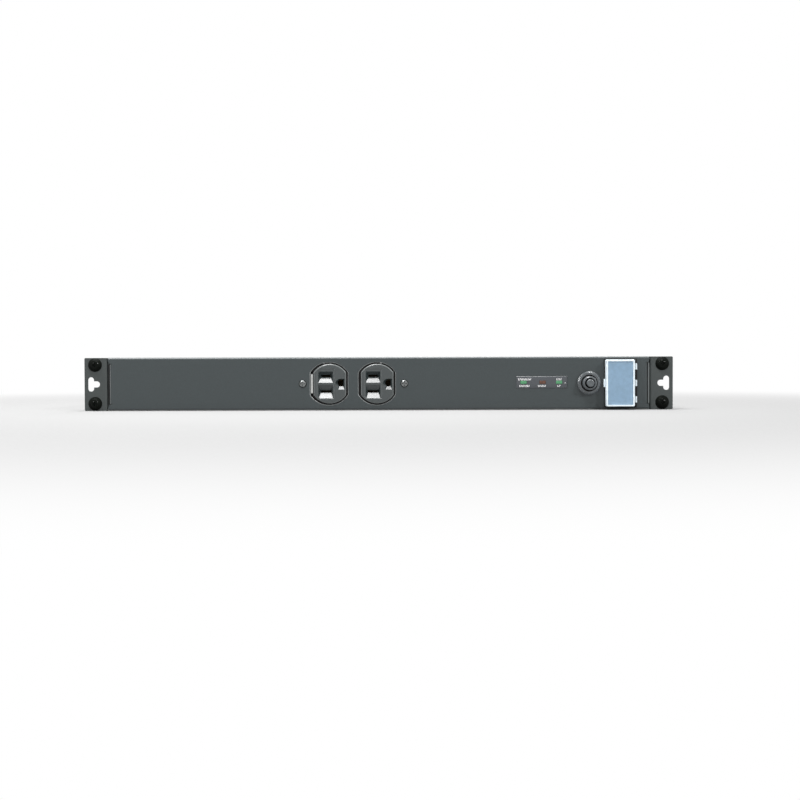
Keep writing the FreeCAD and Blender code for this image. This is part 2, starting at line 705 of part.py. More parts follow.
def right_ear():
    """L-bracket: a leg along the case's side and a flange with rack holes and a T-slot."""
    foot = EAR_EDGE
    outer = rounded(
        box(HALF_WIDTH, foot, -EAR_SHEET, EAR_LEG_DEPTH, -EAR_HALF, EAR_HALF),
        EAR_BEND,
        upright_at(HALF_WIDTH, -EAR_SHEET),
    )
    inner_x = HALF_WIDTH + EAR_SHEET
    inner = rounded(
        box(inner_x, foot + OVERCUT, 0, EAR_LEG_DEPTH + OVERCUT, -HALF_HEIGHT, HALF_HEIGHT),
        EAR_BEND - EAR_SHEET,
        upright_at(inner_x, 0),
    )
    shape = rounded(outer.cut(inner), EAR_CORNER, lambda b: runs_along_y(b) and same(b.XMin, foot))
    holes = []
    for side in (-1, 1):
        z = side * RACK_HOLE_PITCH / 2
        holes.append(bore_y(RACK_SCREW_RADIUS + RACK_HOLE_PLAY, RACK_HOLE_X, z, -EAR_SHEET - OVERCUT, OVERCUT))
    half = (TEE_BAR_LENGTH - TEE_WIDTH) / 2
    bar_x = EAR_EDGE - TEE_BAR_INSET
    stem_x = EAR_EDGE - TEE_STEM_END + TEE_WIDTH / 2
    holes.append(long_hole(bar_x, -half, bar_x, half, TEE_WIDTH))
    holes.append(long_hole(stem_x, 0, bar_x, 0, TEE_WIDTH))
    for p in ear_screw_places():
        head = EAR_SCREW_HEAD + SCREW_PLAY
        radius = EAR_SCREW_RADIUS + SCREW_PLAY
        holes.append(sunk_hole(p, -X_AXIS, head, radius, EAR_SHEET + OVERCUT))
    return shape.cut(Part.makeCompound(holes))


def rack_screws():
    pieces = []
    for side in (-1, 1):
        for level in (-1, 1):
            seat = V(side * RACK_HOLE_X, -EAR_SHEET, level * RACK_HOLE_PITCH / 2)
            pieces.append(
                pan_head(
                    seat, Y_AXIS, RACK_HEAD_RADIUS, RACK_HEAD_HEIGHT, RACK_SCREW_RADIUS, RACK_SCREW_LENGTH
                )
            )
    return Part.makeCompound(pieces)


def ear_screws():
    pieces = [
        flat_head(p, -X_AXIS, EAR_SCREW_HEAD, EAR_SCREW_RADIUS, ear_screw_length())
        for p in ear_screw_places()
    ]
    return Part.makeCompound(pieces + [mirrored(s) for s in pieces])


def case_screws():
    length = case_screw_length()
    pieces = [
        flat_head(p, -Z_AXIS, CASE_SCREW_HEAD, CASE_SCREW_RADIUS, length) for p in case_screw_places()
    ]
    side = flat_head(side_screw_place(), -X_AXIS, CASE_SCREW_HEAD, CASE_SCREW_RADIUS, length)
    return Part.makeCompound(pieces + [side, mirrored(side)])


def indicator_window():
    """Legend plate in the panel's opening, with a flange and two posts behind it."""
    width = INDICATOR_WIDTH - 2 * INDICATOR_FIT
    height = INDICATOR_HEIGHT - 2 * INDICATOR_FIT
    front = FRONT_Y - INDICATOR_STAND
    back = INNER_Y + INDICATOR_BACK
    plate = bevelled(
        block(INDICATOR_X, INDICATOR_Z, width, height, front, INNER_Y), INDICATOR_EDGE, lies_at_y(front)
    )
    flange_width = INDICATOR_WIDTH + 2 * INDICATOR_FLANGE
    flange = block(
        INDICATOR_X, INDICATOR_Z, flange_width, INDICATOR_HEIGHT + 2 * INDICATOR_FLANGE, INNER_Y, back
    )
    pieces = [plate, flange]
    for side in (-1, 1):
        x = INDICATOR_X + side * (flange_width / 2 - POST_RADIUS)
        pieces.append(bore_y(POST_RADIUS, x, INDICATOR_Z, back, back + POST_LENGTH))
    fit = 2 * LED_FIT
    holes = [
        block(INDICATOR_X + offset, INDICATOR_Z, LED_WIDTH + fit, LED_HEIGHT + fit, front, back)
        for offset in LED_OFFSETS.values()
    ]
    return fuse(pieces).cut(Part.makeCompound(holes))


def indicator_board():
    y0 = INNER_Y + INDICATOR_BACK + POST_LENGTH
    width = INDICATOR_WIDTH + 2 * INDICATOR_FLANGE
    return block(
        INDICATOR_X, INDICATOR_Z, width, INDICATOR_HEIGHT + 2 * INDICATOR_FLANGE, y0, y0 + BOARD_SHEET
    )


def led(offset):
    front = FRONT_Y - INDICATOR_STAND - LED_STAND
    back = INNER_Y + INDICATOR_BACK + POST_LENGTH
    body = block(INDICATOR_X + offset, INDICATOR_Z, LED_WIDTH, LED_HEIGHT, front, back)
    return rounded(body, LED_STAND, lies_at_y(front))


def breaker_body():
    """Breaker case behind the panel with the neck that passes through it."""
    case = block(BREAKER_X, 0, BREAKER_WIDTH, BREAKER_HEIGHT, INNER_Y, INNER_Y + BREAKER_DEPTH)
    front = FRONT_Y - NECK_LENGTH
    neck = rounded(bore_y(NECK_RADIUS, BREAKER_X, 0, front, INNER_Y), NECK_EDGE, lies_at_y(front))
    end = FRONT_Y + BUTTON_STEM + BUTTON_TRAVEL_ROOM
    bore = bore_y(BUTTON_RADIUS + BUTTON_PLAY, BREAKER_X, 0, front - OVERCUT, end)
    mouth = bore_y(BUTTON_RADIUS + NECK_MOUTH, BREAKER_X, 0, front - OVERCUT, front + NECK_MOUTH_DEPTH)
    return fuse([case, neck]).cut(Part.makeCompound([bore, mouth]))


def breaker_nut():
    """Ring nut with a serrated edge and a counterbore round the neck."""
    front = FRONT_Y - NUT_THICKNESS
    corners = []
    for i in range(2 * NUT_TEETH):
        radius = NUT_RADIUS - NUT_GROOVE * (i % 2)
        turn = math.pi * i / NUT_TEETH
        corners.append((BREAKER_X + radius * math.cos(turn), radius * math.sin(turn)))
    ring = prism_y(corners, front, FRONT_Y)
    bore = bore_y(NECK_RADIUS + SCREW_PLAY, BREAKER_X, 0, front - OVERCUT, FRONT_Y + OVERCUT)
    counterbore = bore_y(NUT_COUNTERBORE, BREAKER_X, 0, front - OVERCUT, front + NUT_COUNTERBORE_DEPTH)
    return ring.cut(Part.makeCompound([bore, counterbore]))


def breaker_button():
    front = FRONT_Y - BUTTON_REACH
    button = bore_y(BUTTON_RADIUS, BREAKER_X, 0, front, FRONT_Y + BUTTON_STEM)
    return rounded(button, BUTTON_EDGE, lies_at_y(front))


def terminals(x, back):
    """Two flat blades on the back of a breaker or switch."""
    return [
        block(x, side * TERMINAL_PITCH / 2, TERMINAL_WIDTH, TERMINAL_SHEET, back, back + TERMINAL_LENGTH)
        for side in (-1, 1)
    ]


def breaker_back():
    return INNER_Y + BREAKER_DEPTH


def switch_back():
    return FRONT_Y + SWITCH_DEPTH


def switch_body():
    """Bezel and housing with a well for the rocker and holes for its trunnions."""
    bezel = block(SWITCH_X, 0, BEZEL_WIDTH, BEZEL_HEIGHT, BEZEL_Y, COVER_SEAT_Y)
    housing = block(SWITCH_X, 0, SWITCH_WIDTH, SWITCH_HEIGHT, COVER_SEAT_Y, switch_back())
    well = block(
        SWITCH_X,
        0,
        ROCKER_WIDTH + 2 * ROCKER_SIDE_PLAY,
        2 * (ROCKER_HALF + ROCKER_END_PLAY),
        BEZEL_Y - OVERCUT,
        BEZEL_Y + ROCKER_WELL,
    )
    reach = ROCKER_WIDTH / 2 + TRUNNION_LENGTH + TRUNNION_PLAY
    trunnions = rod(
        TRUNNION_RADIUS + TRUNNION_PLAY, V(SWITCH_X - reach, ROCKER_Y, 0), V(SWITCH_X + reach, ROCKER_Y, 0)
    )
    return fuse([bezel, housing]).cut(well).cut(trunnions)


def switch_rocker():
    """Rocker with a dished top and a keel, tilted so that its upper end is in."""
    top = -ROCKER_PIVOT_DEPTH - ROCKER_RISE
    keel_half = ROCKER_HALF / 3
    outline = [
        (top, -ROCKER_HALF),
        (0, -ROCKER_HALF),
        (ROCKER_KEEL, -keel_half),
        (ROCKER_KEEL, keel_half),
        (0, ROCKER_HALF),
        (top, ROCKER_HALF),
        (top + ROCKER_DIP, 0),
    ]
    half = ROCKER_WIDTH / 2
    body = prism_x(outline, -half, half)
    reach = half + TRUNNION_LENGTH
    trunnion = rod(TRUNNION_RADIUS, V(-reach, 0, 0), V(reach, 0, 0))
    shape = fuse([body, trunnion]).rotated(V(0, 0, 0), X_AXIS, -ROCKER_TILT)
    return shape.translated(V(SWITCH_X, ROCKER_Y, 0))


def lid_knuckle_levels():
    return (-KNUCKLE_PITCH, 0, KNUCKLE_PITCH)


def base_knuckle_levels():
    return (-KNUCKLE_PITCH / 2, KNUCKLE_PITCH / 2)


def base_knuckle_length():
    return KNUCKLE_PITCH - KNUCKLE_LENGTH - 2 * KNUCKLE_GAP


def knuckle(z, length):
    return rod(KNUCKLE_RADIUS, V(HINGE_X, HINGE_Y, z - length / 2), V(HINGE_X, HINGE_Y, z + length / 2))


def hinge_bore():
    half = COVER_HEIGHT / 2
    return rod(
        HINGE_PIN_RADIUS + HINGE_PIN_PLAY, V(HINGE_X, HINGE_Y, -half), V(HINGE_X, HINGE_Y, half)
    )


def cover_base():
    """Frame under the bezel, with two hinge knuckles between those of the cover."""
    half_height = COVER_HEIGHT / 2 + COVER_BASE_MARGIN
    x0 = SWITCH_X - COVER_WIDTH / 2 - COVER_BASE_MARGIN
    x1 = HINGE_X + KNUCKLE_RADIUS
    frame = box(x0, x1, COVER_SEAT_Y, FRONT_Y, -half_height, half_height)
    frame = rounded(frame, COVER_CORNER, runs_along_y)
    fit = 2 * SWITCH_FIT
    hole = block(SWITCH_X, 0, SWITCH_WIDTH + fit, SWITCH_HEIGHT + fit, COVER_SEAT_Y, FRONT_Y)
    length = base_knuckle_length()
    pieces = [frame.cut(hole)]
    for z in base_knuckle_levels():
        pieces.append(knuckle(z, length))
        pieces.append(block(HINGE_X, z, 2 * KNUCKLE_RADIUS, length, HINGE_Y, COVER_SEAT_Y))
    return fuse(pieces).cut(hinge_bore())


def switch_cover():
    """See-through lid: a shallow box with a raised rim, a latch tab and three knuckles."""
    front = COVER_SEAT_Y - COVER_DEPTH
    back = COVER_SEAT_Y - COVER_SEAT_GAP
    outer = rounded(block(SWITCH_X, 0, COVER_WIDTH, COVER_HEIGHT, front, back), COVER_CORNER, runs_along_y)
    outer = rounded(outer, COVER_CORNER / 2, lies_at_y(front))
    inner_y = front + COVER_RECESS + COVER_WALL
    wall = 2 * COVER_WALL
    inside = block(SWITCH_X, 0, COVER_WIDTH - wall, COVER_HEIGHT - wall, inner_y, back)
    rim = 2 * COVER_RIM
    recess = block(SWITCH_X, 0, COVER_WIDTH - rim, COVER_HEIGHT - rim, front, front + COVER_RECESS)
    left = SWITCH_X - COVER_WIDTH / 2
    right = SWITCH_X + COVER_WIDTH / 2
    half_tab = COVER_TAB_HEIGHT / 2
    tab = box(
        left - COVER_TAB_WIDTH, left + COVER_WALL, back - COVER_TAB_THICKNESS, back, -half_tab, half_tab
    )
    tab = rounded(tab, COVER_TAB_WIDTH / 3, lambda b: runs_along_y(b) and b.XMax < left)
    pieces = [outer.cut(inside), tab]
    for z in lid_knuckle_levels():
        pieces.append(knuckle(z, KNUCKLE_LENGTH))
        pieces.append(
            box(
                right - COVER_WALL,
                HINGE_X,
                HINGE_Y - KNUCKLE_RADIUS,
                HINGE_Y,
                z - KNUCKLE_LENGTH / 2,
                z + KNUCKLE_LENGTH / 2,
            )
        )
    room = KNUCKLE_RADIUS + KNUCKLE_GAP
    length = base_knuckle_length() + 2 * KNUCKLE_GAP
    notches = [
        box(HINGE_X - room, HINGE_X + room, HINGE_Y - room, back + OVERCUT, z - length / 2, z + length / 2)
        for z in base_knuckle_levels()
    ]
    return fuse(pieces).cut(Part.makeCompound([recess, hinge_bore()] + notches))


def cover_hinge_pin():
    half = KNUCKLE_PITCH + KNUCKLE_LENGTH / 2
    return rod(HINGE_PIN_RADIUS, V(HINGE_X, HINGE_Y, -half), V(HINGE_X, HINGE_Y, half))


def cord_gland():
    """Hexagon, tapered cap and threaded tail round the bore for a cord."""
    hexagon = hexagon_y(GLAND_HEX, GLAND_X, 0, REAR_Y, REAR_Y + GLAND_HEX_THICKNESS)
    cap_start = V(GLAND_X, REAR_Y + GLAND_HEX_THICKNESS, 0)
    cap = Part.makeCone(
        GLAND_THREAD_RADIUS, GLAND_THREAD_RADIUS - GLAND_CAP_TAPER, GLAND_CAP_LENGTH, cap_start, Y_AXIS
    )
    tail_y = REAR_Y - SHEET - GLAND_TAIL
    tail = bore_y(GLAND_THREAD_RADIUS, GLAND_X, 0, tail_y, REAR_Y)
    end_y = REAR_Y + GLAND_HEX_THICKNESS + GLAND_CAP_LENGTH
    bore = bore_y(GLAND_BORE_RADIUS, GLAND_X, 0, tail_y - OVERCUT, end_y + OVERCUT)
    return fuse([hexagon, cap, tail]).cut(bore)


def gland_nut():
    back = REAR_Y - SHEET
    nut = hexagon_y(GLAND_HEX, GLAND_X, 0, back - GLAND_NUT_THICKNESS, back)
    return nut.cut(
        bore_y(GLAND_THREAD_RADIUS + SCREW_PLAY, GLAND_X, 0, back - GLAND_NUT_THICKNESS, back)
    )


def board_fixings():
    xs = (BOARD_X0 + STANDOFF_INSET, BOARD_X1 - STANDOFF_INSET)
    ys = (BOARD_Y0 + STANDOFF_INSET, BOARD_Y0 + BOARD_DEPTH - STANDOFF_INSET)
    return [V(x, y, BOARD_TOP) for x in xs for y in ys]


def filter_board():
    board = box(BOARD_X0, BOARD_X1, BOARD_Y0, BOARD_Y0 + BOARD_DEPTH, BOARD_Z, BOARD_TOP)
    holes = [
        Part.makeCylinder(BOARD_SCREW_RADIUS + HOLE_PLAY, BOARD_SHEET, p, -Z_AXIS) for p in board_fixings()
    ]
    return board.cut(Part.makeCompound(holes))


def board_standoffs():
    pieces = []
    for p in board_fixings():
        foot = V(p.x, p.y, FLOOR_Z)
        post = Part.makeCylinder(STANDOFF_RADIUS, STANDOFF_HEIGHT, foot)
        pieces.append(post.cut(Part.makeCylinder(BOARD_SCREW_RADIUS + SCREW_PLAY, STANDOFF_HEIGHT, foot)))
    return Part.makeCompound(pieces)


def board_screws():
    length = BOARD_SHEET + STANDOFF_HEIGHT - SCREW_TIP
    return Part.makeCompound(
        [
            pan_head(p, -Z_AXIS, BOARD_SCREW_HEAD, BOARD_SCREW_RISE, BOARD_SCREW_RADIUS, length)
            for p in board_fixings()
        ]
    )


def varistors():
    """Discs that stand on edge in a row, each on a short foot."""
    pieces = []
    x0 = BOARD_X0 + 2 * STANDOFF_INSET + VARISTOR_THICKNESS
    y = BOARD_Y0 + BOARD_DEPTH / 2
    for i in range(VARISTOR_COUNT):
        x = x0 + VARISTOR_PITCH * i
        z = BOARD_TOP + VARISTOR_FOOT + VARISTOR_RADIUS
        disc = rod(VARISTOR_RADIUS, V(x, y, z), V(x + VARISTOR_THICKNESS, y, z))
        half = VARISTOR_RADIUS / 2
        foot = box(x, x + VARISTOR_THICKNESS, y - half, y + half, BOARD_TOP, z)
        pieces.append(fuse([disc, foot]))
    return Part.makeCompound(pieces)


def parts_x0():
    """Where the row of capacitors starts, past the varistors."""
    return BOARD_X0 + 2 * STANDOFF_INSET + VARISTOR_THICKNESS + VARISTOR_PITCH * VARISTOR_COUNT


def filter_capacitors():
    pieces = []
    x0 = parts_x0()
    for i in range(2):
        y = BOARD_Y0 + BOARD_DEPTH / 2 + CAPACITOR_PITCH * (i - 0.5)
        can = box(
            x0,
            x0 + CAPACITOR_LENGTH,
            y - CAPACITOR_WIDTH / 2,
            y + CAPACITOR_WIDTH / 2,
            BOARD_TOP,
            BOARD_TOP + CAPACITOR_HEIGHT,
        )
        pieces.append(rounded(can, CAPACITOR_EDGE, lambda b: b.ZMin > BOARD_TOP + TOLERANCE))
    return Part.makeCompound(pieces)


def choke_centre():
    x = parts_x0() + CAPACITOR_LENGTH + CHOKE_RADIUS + 2 * WINDING
    return V(x, BOARD_Y0 + BOARD_DEPTH / 2, BOARD_TOP + WINDING)


def choke_core():
    centre = choke_centre()
    ring = Part.makeCylinder(CHOKE_RADIUS, CHOKE_HEIGHT, centre)
    return ring.cut(Part.makeCylinder(CHOKE_BORE, CHOKE_HEIGHT, centre))


def choke_winding():
    """Two coils wound round opposite sides of the core."""
    centre = choke_centre()
    low = centre - Z_AXIS * WINDING
    height = CHOKE_HEIGHT + 2 * WINDING
    pieces = []
    for start in (-WINDING_ANGLE / 2, HALF_TURN - WINDING_ANGLE / 2):
        outer = Part.makeCylinder(CHOKE_RADIUS + WINDING, height, low, Z_AXIS, WINDING_ANGLE)
        hole = Part.makeCylinder(CHOKE_BORE - WINDING, height, low)
        coil = outer.rotated(centre, Z_AXIS, start).cut(hole)
        pieces.append(coil.cut(choke_core()))
    return Part.makeCompound(pieces)


def thermal_fuse():
    y = BOARD_Y0 + BOARD_DEPTH / 2 - VARISTOR_RADIUS - 2 * FUSE_RADIUS
    x0 = BOARD_X0 + 2 * STANDOFF_INSET + VARISTOR_THICKNESS
    z = BOARD_TOP + FUSE_RADIUS
    tube = rod(FUSE_RADIUS, V(x0, y, z), V(x0 + FUSE_LENGTH, y, z))
    foot = box(x0, x0 + FUSE_LENGTH, y - FUSE_RADIUS / 2, y + FUSE_RADIUS / 2, BOARD_TOP, z)
    return fuse([tube, foot])


def terminal_block():
    return box(
        BLOCK_X,
        BLOCK_X + BLOCK_LENGTH,
        BLOCK_Y - BLOCK_DEPTH / 2,
        BLOCK_Y + BLOCK_DEPTH / 2,
        BOARD_TOP,
        LINE_W + BLOCK_TOP_ABOVE_LINE,
    )


def bus(level):
    """A wire behind the rear receptacles with a branch to each, to the front one and to the board."""
    taps = [x - BLADE_OFFSET for x in REAR_CENTRES]
    front_x = OUTLET_X + BLADE_OFFSET
    board_x = BLOCK_X + BLOCK_LENGTH / 2
    ends = taps + [front_x, board_x]
    start = V(min(ends) - WIRE_BEND, BUS_Y, level)
    end = V(max(ends) + WIRE_BEND, BUS_Y, level)
    pieces = [rod(WIRE_RADIUS, start, end)]
    for x in taps:
        pieces.append(bore_y(BRANCH_RADIUS, x, level, BUS_Y, REAR_Y - CONTACT_FLOOR))
    pieces.append(bore_y(BRANCH_RADIUS, front_x, level, FRONT_Y + CONTACT_FLOOR, BUS_Y))
    pieces.append(bore_y(BRANCH_RADIUS, board_x, level, BLOCK_Y + BLOCK_DEPTH / 2, BUS_Y))
    return fuse(pieces)


def ground_bus_end():
    return REAR_CENTRES[-1] + STRAP_LENGTH / 2


def ground_bus():
    """A wire along the backs of the rear straps."""
    start_x = REAR_CENTRES[0] - GROUND_OFFSET - WIRE_BEND
    return rod(WIRE_RADIUS, V(start_x, BUS_Y, 0), V(ground_bus_end(), BUS_Y, 0))


def stud_x():
    return ground_bus_end() + STUD_FROM_ROW


def ground_stud():
    foot = V(stud_x(), BUS_Y, FLOOR_Z)
    return fuse(
        [
            Part.makeCylinder(STUD_BASE_RADIUS, STUD_BASE_HEIGHT, foot),
            Part.makeCylinder(STUD_RADIUS, STUD_HEIGHT, foot),
        ]
    )


def lead(points):
    """A wire of straight runs and tangent bends through the points."""
    edges = []
    start = points[0]
    for before, corner, after in zip(points, points[1:], points[2:]):
        into = (corner - before).normalize()
        out = (after - corner).normalize()
        reach = WIRE_BEND * math.tan(into.getAngle(out) / 2)
        first = corner - into * reach
        last = corner + out * reach
        inward = (out - into).normalize()
        centre = corner + inward * math.hypot(reach, WIRE_BEND)
        middle = centre - inward * WIRE_BEND
        edges.append(Part.makeLine(start, first))
        edges.append(Part.Arc(first, middle, last).toShape())
        start = last
    edges.append(Part.makeLine(start, points[-1]))
    section = Part.Wire([Part.makeCircle(WIRE_RADIUS, points[0], points[1] - points[0])])
    return Part.Wire(edges).makePipeShell([section], True, False)


def breaker_lead():
    """From the breaker's upper blade round to the switch's upper blade."""
    z = TERMINAL_PITCH / 2
    start_y = breaker_back() + TERMINAL_LENGTH
    end_y = switch_back() + TERMINAL_LENGTH
    run_y = max(start_y, end_y) + 2 * WIRE_BEND
    return lead(
        [V(BREAKER_X, start_y, z), V(BREAKER_X, run_y, z), V(SWITCH_X, run_y, z), V(SWITCH_X, end_y, z)]
    )


def switch_lead():
    """From the switch's lower blade across the case to the terminal block."""
    z = -TERMINAL_PITCH / 2
    start_y = switch_back() + TERMINAL_LENGTH
    return lead([V(SWITCH_X, start_y, z), V(SWITCH_X, BLOCK_Y, z), V(BLOCK_X + BLOCK_LENGTH, BLOCK_Y, z)])


def ground_lead():
    """From the ground stud up to the end of the ground bus."""
    x = stud_x()
    return lead(
        [V(x, BUS_Y, FLOOR_Z + STUD_HEIGHT), V(x, BUS_Y, 0), V(ground_bus_end(), BUS_Y, 0)]
    )


def nodes():
    """Every node's name and shape."""
    shapes = {
        "front_shell": front_shell(),
        "rear_shell": rear_shell(),
        "side_walls": Part.makeCompound([side_wall(), mirrored(side_wall())]),
        "right_rack_ear": right_ear(),
        "left_rack_ear": mirrored(right_ear()),
        "rack_screws": rack_screws(),
        "ear_screws": ear_screws(),
        "case_screws": case_screws(),
        "front_outlet_face": at_front(outlet_face()),
        "front_outlet_base": at_front(outlet_base()),
        "front_outlet_strap": at_front(outlet_strap()),
        "front_outlet_contacts": at_front(outlet_contacts()),
        "front_outlet_screws": at_front(Part.makeCompound(outlet_screws())),
        "indicator_window": indicator_window(),
        "indicator_board": indicator_board(),
        "breaker_body": breaker_body(),
        "breaker_nut": breaker_nut(),
        "breaker_button": breaker_button(),
        "breaker_terminals": Part.makeCompound(terminals(BREAKER_X, breaker_back())),
        "switch_body": switch_body(),
        "switch_rocker": switch_rocker(),
        "switch_terminals": Part.makeCompound(terminals(SWITCH_X, switch_back())),
        "cover_base": cover_base(),
        "switch_cover": switch_cover(),
        "cover_hinge_pin": cover_hinge_pin(),
        "cord_gland": cord_gland(),
        "gland_nut": gland_nut(),
        "filter_board": filter_board(),
        "board_standoffs": board_standoffs(),
        "board_screws": board_screws(),
        "varistors": varistors(),
        "filter_capacitors": filter_capacitors(),
        "choke_core": choke_core(),
        "choke_winding": choke_winding(),
        "thermal_fuse": thermal_fuse(),
        "terminal_block": terminal_block(),
        "line_bus": bus(LINE_W),
        "neutral_bus": bus(-LINE_W),
        "ground_bus": ground_bus(),
        "ground_stud": ground_stud(),
        "breaker_lead": breaker_lead(),
        "switch_lead": switch_lead(),
        "ground_lead": ground_lead(),
    }
    for name, offset in LED_OFFSETS.items():
        shapes[name] = led(offset)
    contacts = []
    screws = []
    for number, x in enumerate(REAR_CENTRES, 1):
        shapes["rear_outlet_face_%d" % number] = at_rear(outlet_face(), x)
        shapes["rear_outlet_base_%d" % number] = at_rear(outlet_base(), x)
        shapes["rear_outlet_strap_%d" % number] = at_rear(outlet_strap(), x)
        contacts += at_rear(outlet_contacts(), x).Solids
        screws += [at_rear(s, x) for s in outlet_screws()]
    shapes["rear_outlet_contacts"] = Part.makeCompound(contacts)
    shapes["rear_outlet_screws"] = Part.makeCompound(screws)
    return shapes


def main():
    os.makedirs("parts", exist_ok=True)
    for name, shape in nodes().items():
        shape.exportStep("parts/%s.step" % name)


if __name__ == "__main__":
    main()
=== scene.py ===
import json
import math
from collections import namedtuple

import bmesh
import bpy
from mathutils import Matrix, Vector


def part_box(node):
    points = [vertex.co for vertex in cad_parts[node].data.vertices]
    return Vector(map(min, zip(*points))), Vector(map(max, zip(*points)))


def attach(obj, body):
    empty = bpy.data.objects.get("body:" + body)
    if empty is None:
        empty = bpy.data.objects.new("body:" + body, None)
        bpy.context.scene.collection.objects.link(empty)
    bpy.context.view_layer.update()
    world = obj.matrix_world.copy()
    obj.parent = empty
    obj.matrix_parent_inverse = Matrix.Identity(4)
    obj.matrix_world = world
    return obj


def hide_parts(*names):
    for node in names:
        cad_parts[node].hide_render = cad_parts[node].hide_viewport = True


# A rack-mounted surge protector. Its pieces are shaped in millimetres in the part's own frame:
# +X to the right seen from the front, +Y to the rear and +Z up.

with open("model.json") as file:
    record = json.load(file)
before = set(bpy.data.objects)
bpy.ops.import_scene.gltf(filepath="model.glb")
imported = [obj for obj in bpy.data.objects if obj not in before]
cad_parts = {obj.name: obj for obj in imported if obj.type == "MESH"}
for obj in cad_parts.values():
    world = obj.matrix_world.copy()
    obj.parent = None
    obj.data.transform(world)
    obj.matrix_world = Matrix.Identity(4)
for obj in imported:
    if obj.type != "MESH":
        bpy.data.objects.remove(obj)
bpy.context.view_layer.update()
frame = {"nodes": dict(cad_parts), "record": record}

MM = 0.001
FINE = 1e-4  # points this near are one point
NEAR = 1.0  # how far a face's middle may be from where it is looked for
QUARTER = math.pi / 2
FRONT, REAR, UP = Vector((0, -1, 0)), Vector((0, 1, 0)), Vector((0, 0, 1))
SECOND, THIRD = 1, 2  # places in a piece's list of finishes
CREASE, FINE_CREASE, SCREW_CREASE = 32, 25, 12  # degrees past which an edge shows sharp
HOLE_SIDES = 32
PLAY = 0.1  # between a piece and its opening
PRINT_RISE, PRINT_ROOT = 0.05, 0.15  # how far print stands out, and how far it reaches in


def extent(node):
    """Lowest and highest corner of a node of the part, in millimetres."""
    low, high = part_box(node)
    return low / MM, high / MM


# Folded sheet of the case
CASE_LOW, CASE_HIGH = extent("front_shell")
HALF_WIDTH, REAR_Y, HALF_HEIGHT = CASE_HIGH
FRONT_Y = CASE_LOW.y
SHEET = 1.2
INSIDE_Y = FRONT_Y + SHEET
FOLD = 1.8
FOLD_STEPS = 8
LAP = 0.15  # room between sheets that overlap
LIP_Z = HALF_HEIGHT - FOLD
TAB_X = HALF_WIDTH - SHEET - LAP
TAB_BEND_X = TAB_X - FOLD
TAB_HALF = 16.5
TAB_DEPTH = 32.0
TAB_SLIT, TAB_RELIEF, TAB_RELIEF_REACH = 0.5, 2.8, 0.4
PAN_HALF = HALF_HEIGHT - SHEET - LAP
REAR_FLANGE = 12.0
WALL_SETBACK = 0.6
CORNER_NOTCH = 0.6
SHEET_EDGE = 0.2
TURNED, HALF_TURNED = 0.75, 0.5  # how much of a face's normal runs along an axis

# Rack ears
EAR_LOW, EAR_HIGH = extent("right_rack_ear")
EAR_SHEET = 2.0
EAR_FOLD = 2.6
EAR_CORNER = 1.0
RACK_X, RACK_Z = 232.55, 15.875
RACK_HOLE = 4.2
TEE_BAR_X, TEE_STEM_X = 236.0, 228.7
TEE_HALF, TEE_BAR_HALF = 2.5, 5.85
TEE_FLAT = 0.05  # left straight between two rounded corners

# Screws: arm is half the length of the cross, bright is the share of a domed head left without painted
# shade
Screw = namedtuple("Screw", "head rise shank length arm bright")
RACK_SCREW = Screw(head=5.65, rise=3.6, shank=3.0, length=16.0, arm=1.6, bright=0.575)
OUTLET_SCREW = Screw(head=3.15, rise=1.7, shank=1.7, length=7.0, arm=1.9, bright=0.84)
CASE_SCREW = Screw(head=2.5, rise=0.0, shank=1.5, length=3.15, arm=1.5, bright=1.0)
EAR_SCREW = Screw(head=3.7, rise=0.0, shank=2.0, length=5.15, arm=2.2, bright=1.0)
CROSS_RIM, CROSS_WIDTH, CROSS_DEPTH = 1.15, 0.24, 0.75  # shares of the arm
CROSS_FOOT = 0.55  # size of the cross at its foot, as a share of its size at the top
DOME_STEPS = 7
EAR_SCREW_Y, EAR_SCREW_Z = 20.0, 12.0
CASE_SCREW_Y = REAR_Y - REAR_FLANGE / 2
CASE_SCREW_XS = [HALF_WIDTH * step / 4 for step in (-3, -1, 1, 3)]

# Duplex receptacles, drawn with y = 0 on the outside of the panel
OUTLET_X = -20.6
REAR_OUTLET_X, REAR_PITCH, REAR_COUNT = -169.55, 96.5, 4
REAR_OUTLET_XS = [REAR_OUTLET_X + REAR_PITCH * number for number in range(REAR_COUNT)]
SCREW_X = 41.7
FACE_XS = (-19.45, 19.45)
FACE_RADIUS, FACE_HALF = 16.2, 13.3
FACE_STAND = 1.2
FACE_EDGE, FACE_SLOPE = 0.7, 0.5
FACE_GAP, FLAT_GAP = 1.1, 1.5
SIDE_SLACK, MIDDLE_SLACK = 1.2, 0.6  # more room at the left of each front face
CUTOUT_EDGE, SIDE_TAPER = 0.4, 0.8
PLATE_HALF_X, PLATE_HALF_Z, PLATE = 33.55, 16.7, 4.0
FRONT_PLATE_END = 34.5
PLATE_BITE = 0.05  # plate into the sheet before it
PLATE_Y, PLATE_BACK = SHEET - PLATE_BITE, SHEET + PLATE
POCKET_RADIUS, POCKET_DEPTH, POCKET_SLOPE = 15.05, 0.4, 0.35
POCKET_SPAN = (-10.6, 3.8, -12.35, 12.35)
SLOT_X, SLOT_HALF = -3.4, 0.9
FUNNEL_DEPTH, FUNNEL_HALF = 3.2, 5.9
Funnel = namedtuple("Funnel", "low high slot_z slot_half")
FUNNELS = (
    Funnel(low=0.85, high=10.05, slot_z=6.35, slot_half=3.8),
    Funnel(low=-11.85, high=-0.75, slot_z=-6.35, slot_half=4.4),
)
GROUND_X, GROUND_RADIUS, GROUND_FLAT, GROUND_SHIFT = 8.6, 4.0, 3.4, 0.3
GROUND_TAPER, GROUND_DEPTH = 0.62, 1.8
GROUND_SILL, GROUND_FOOT, GROUND_LIFT = 3.6, 4.75, 0.84

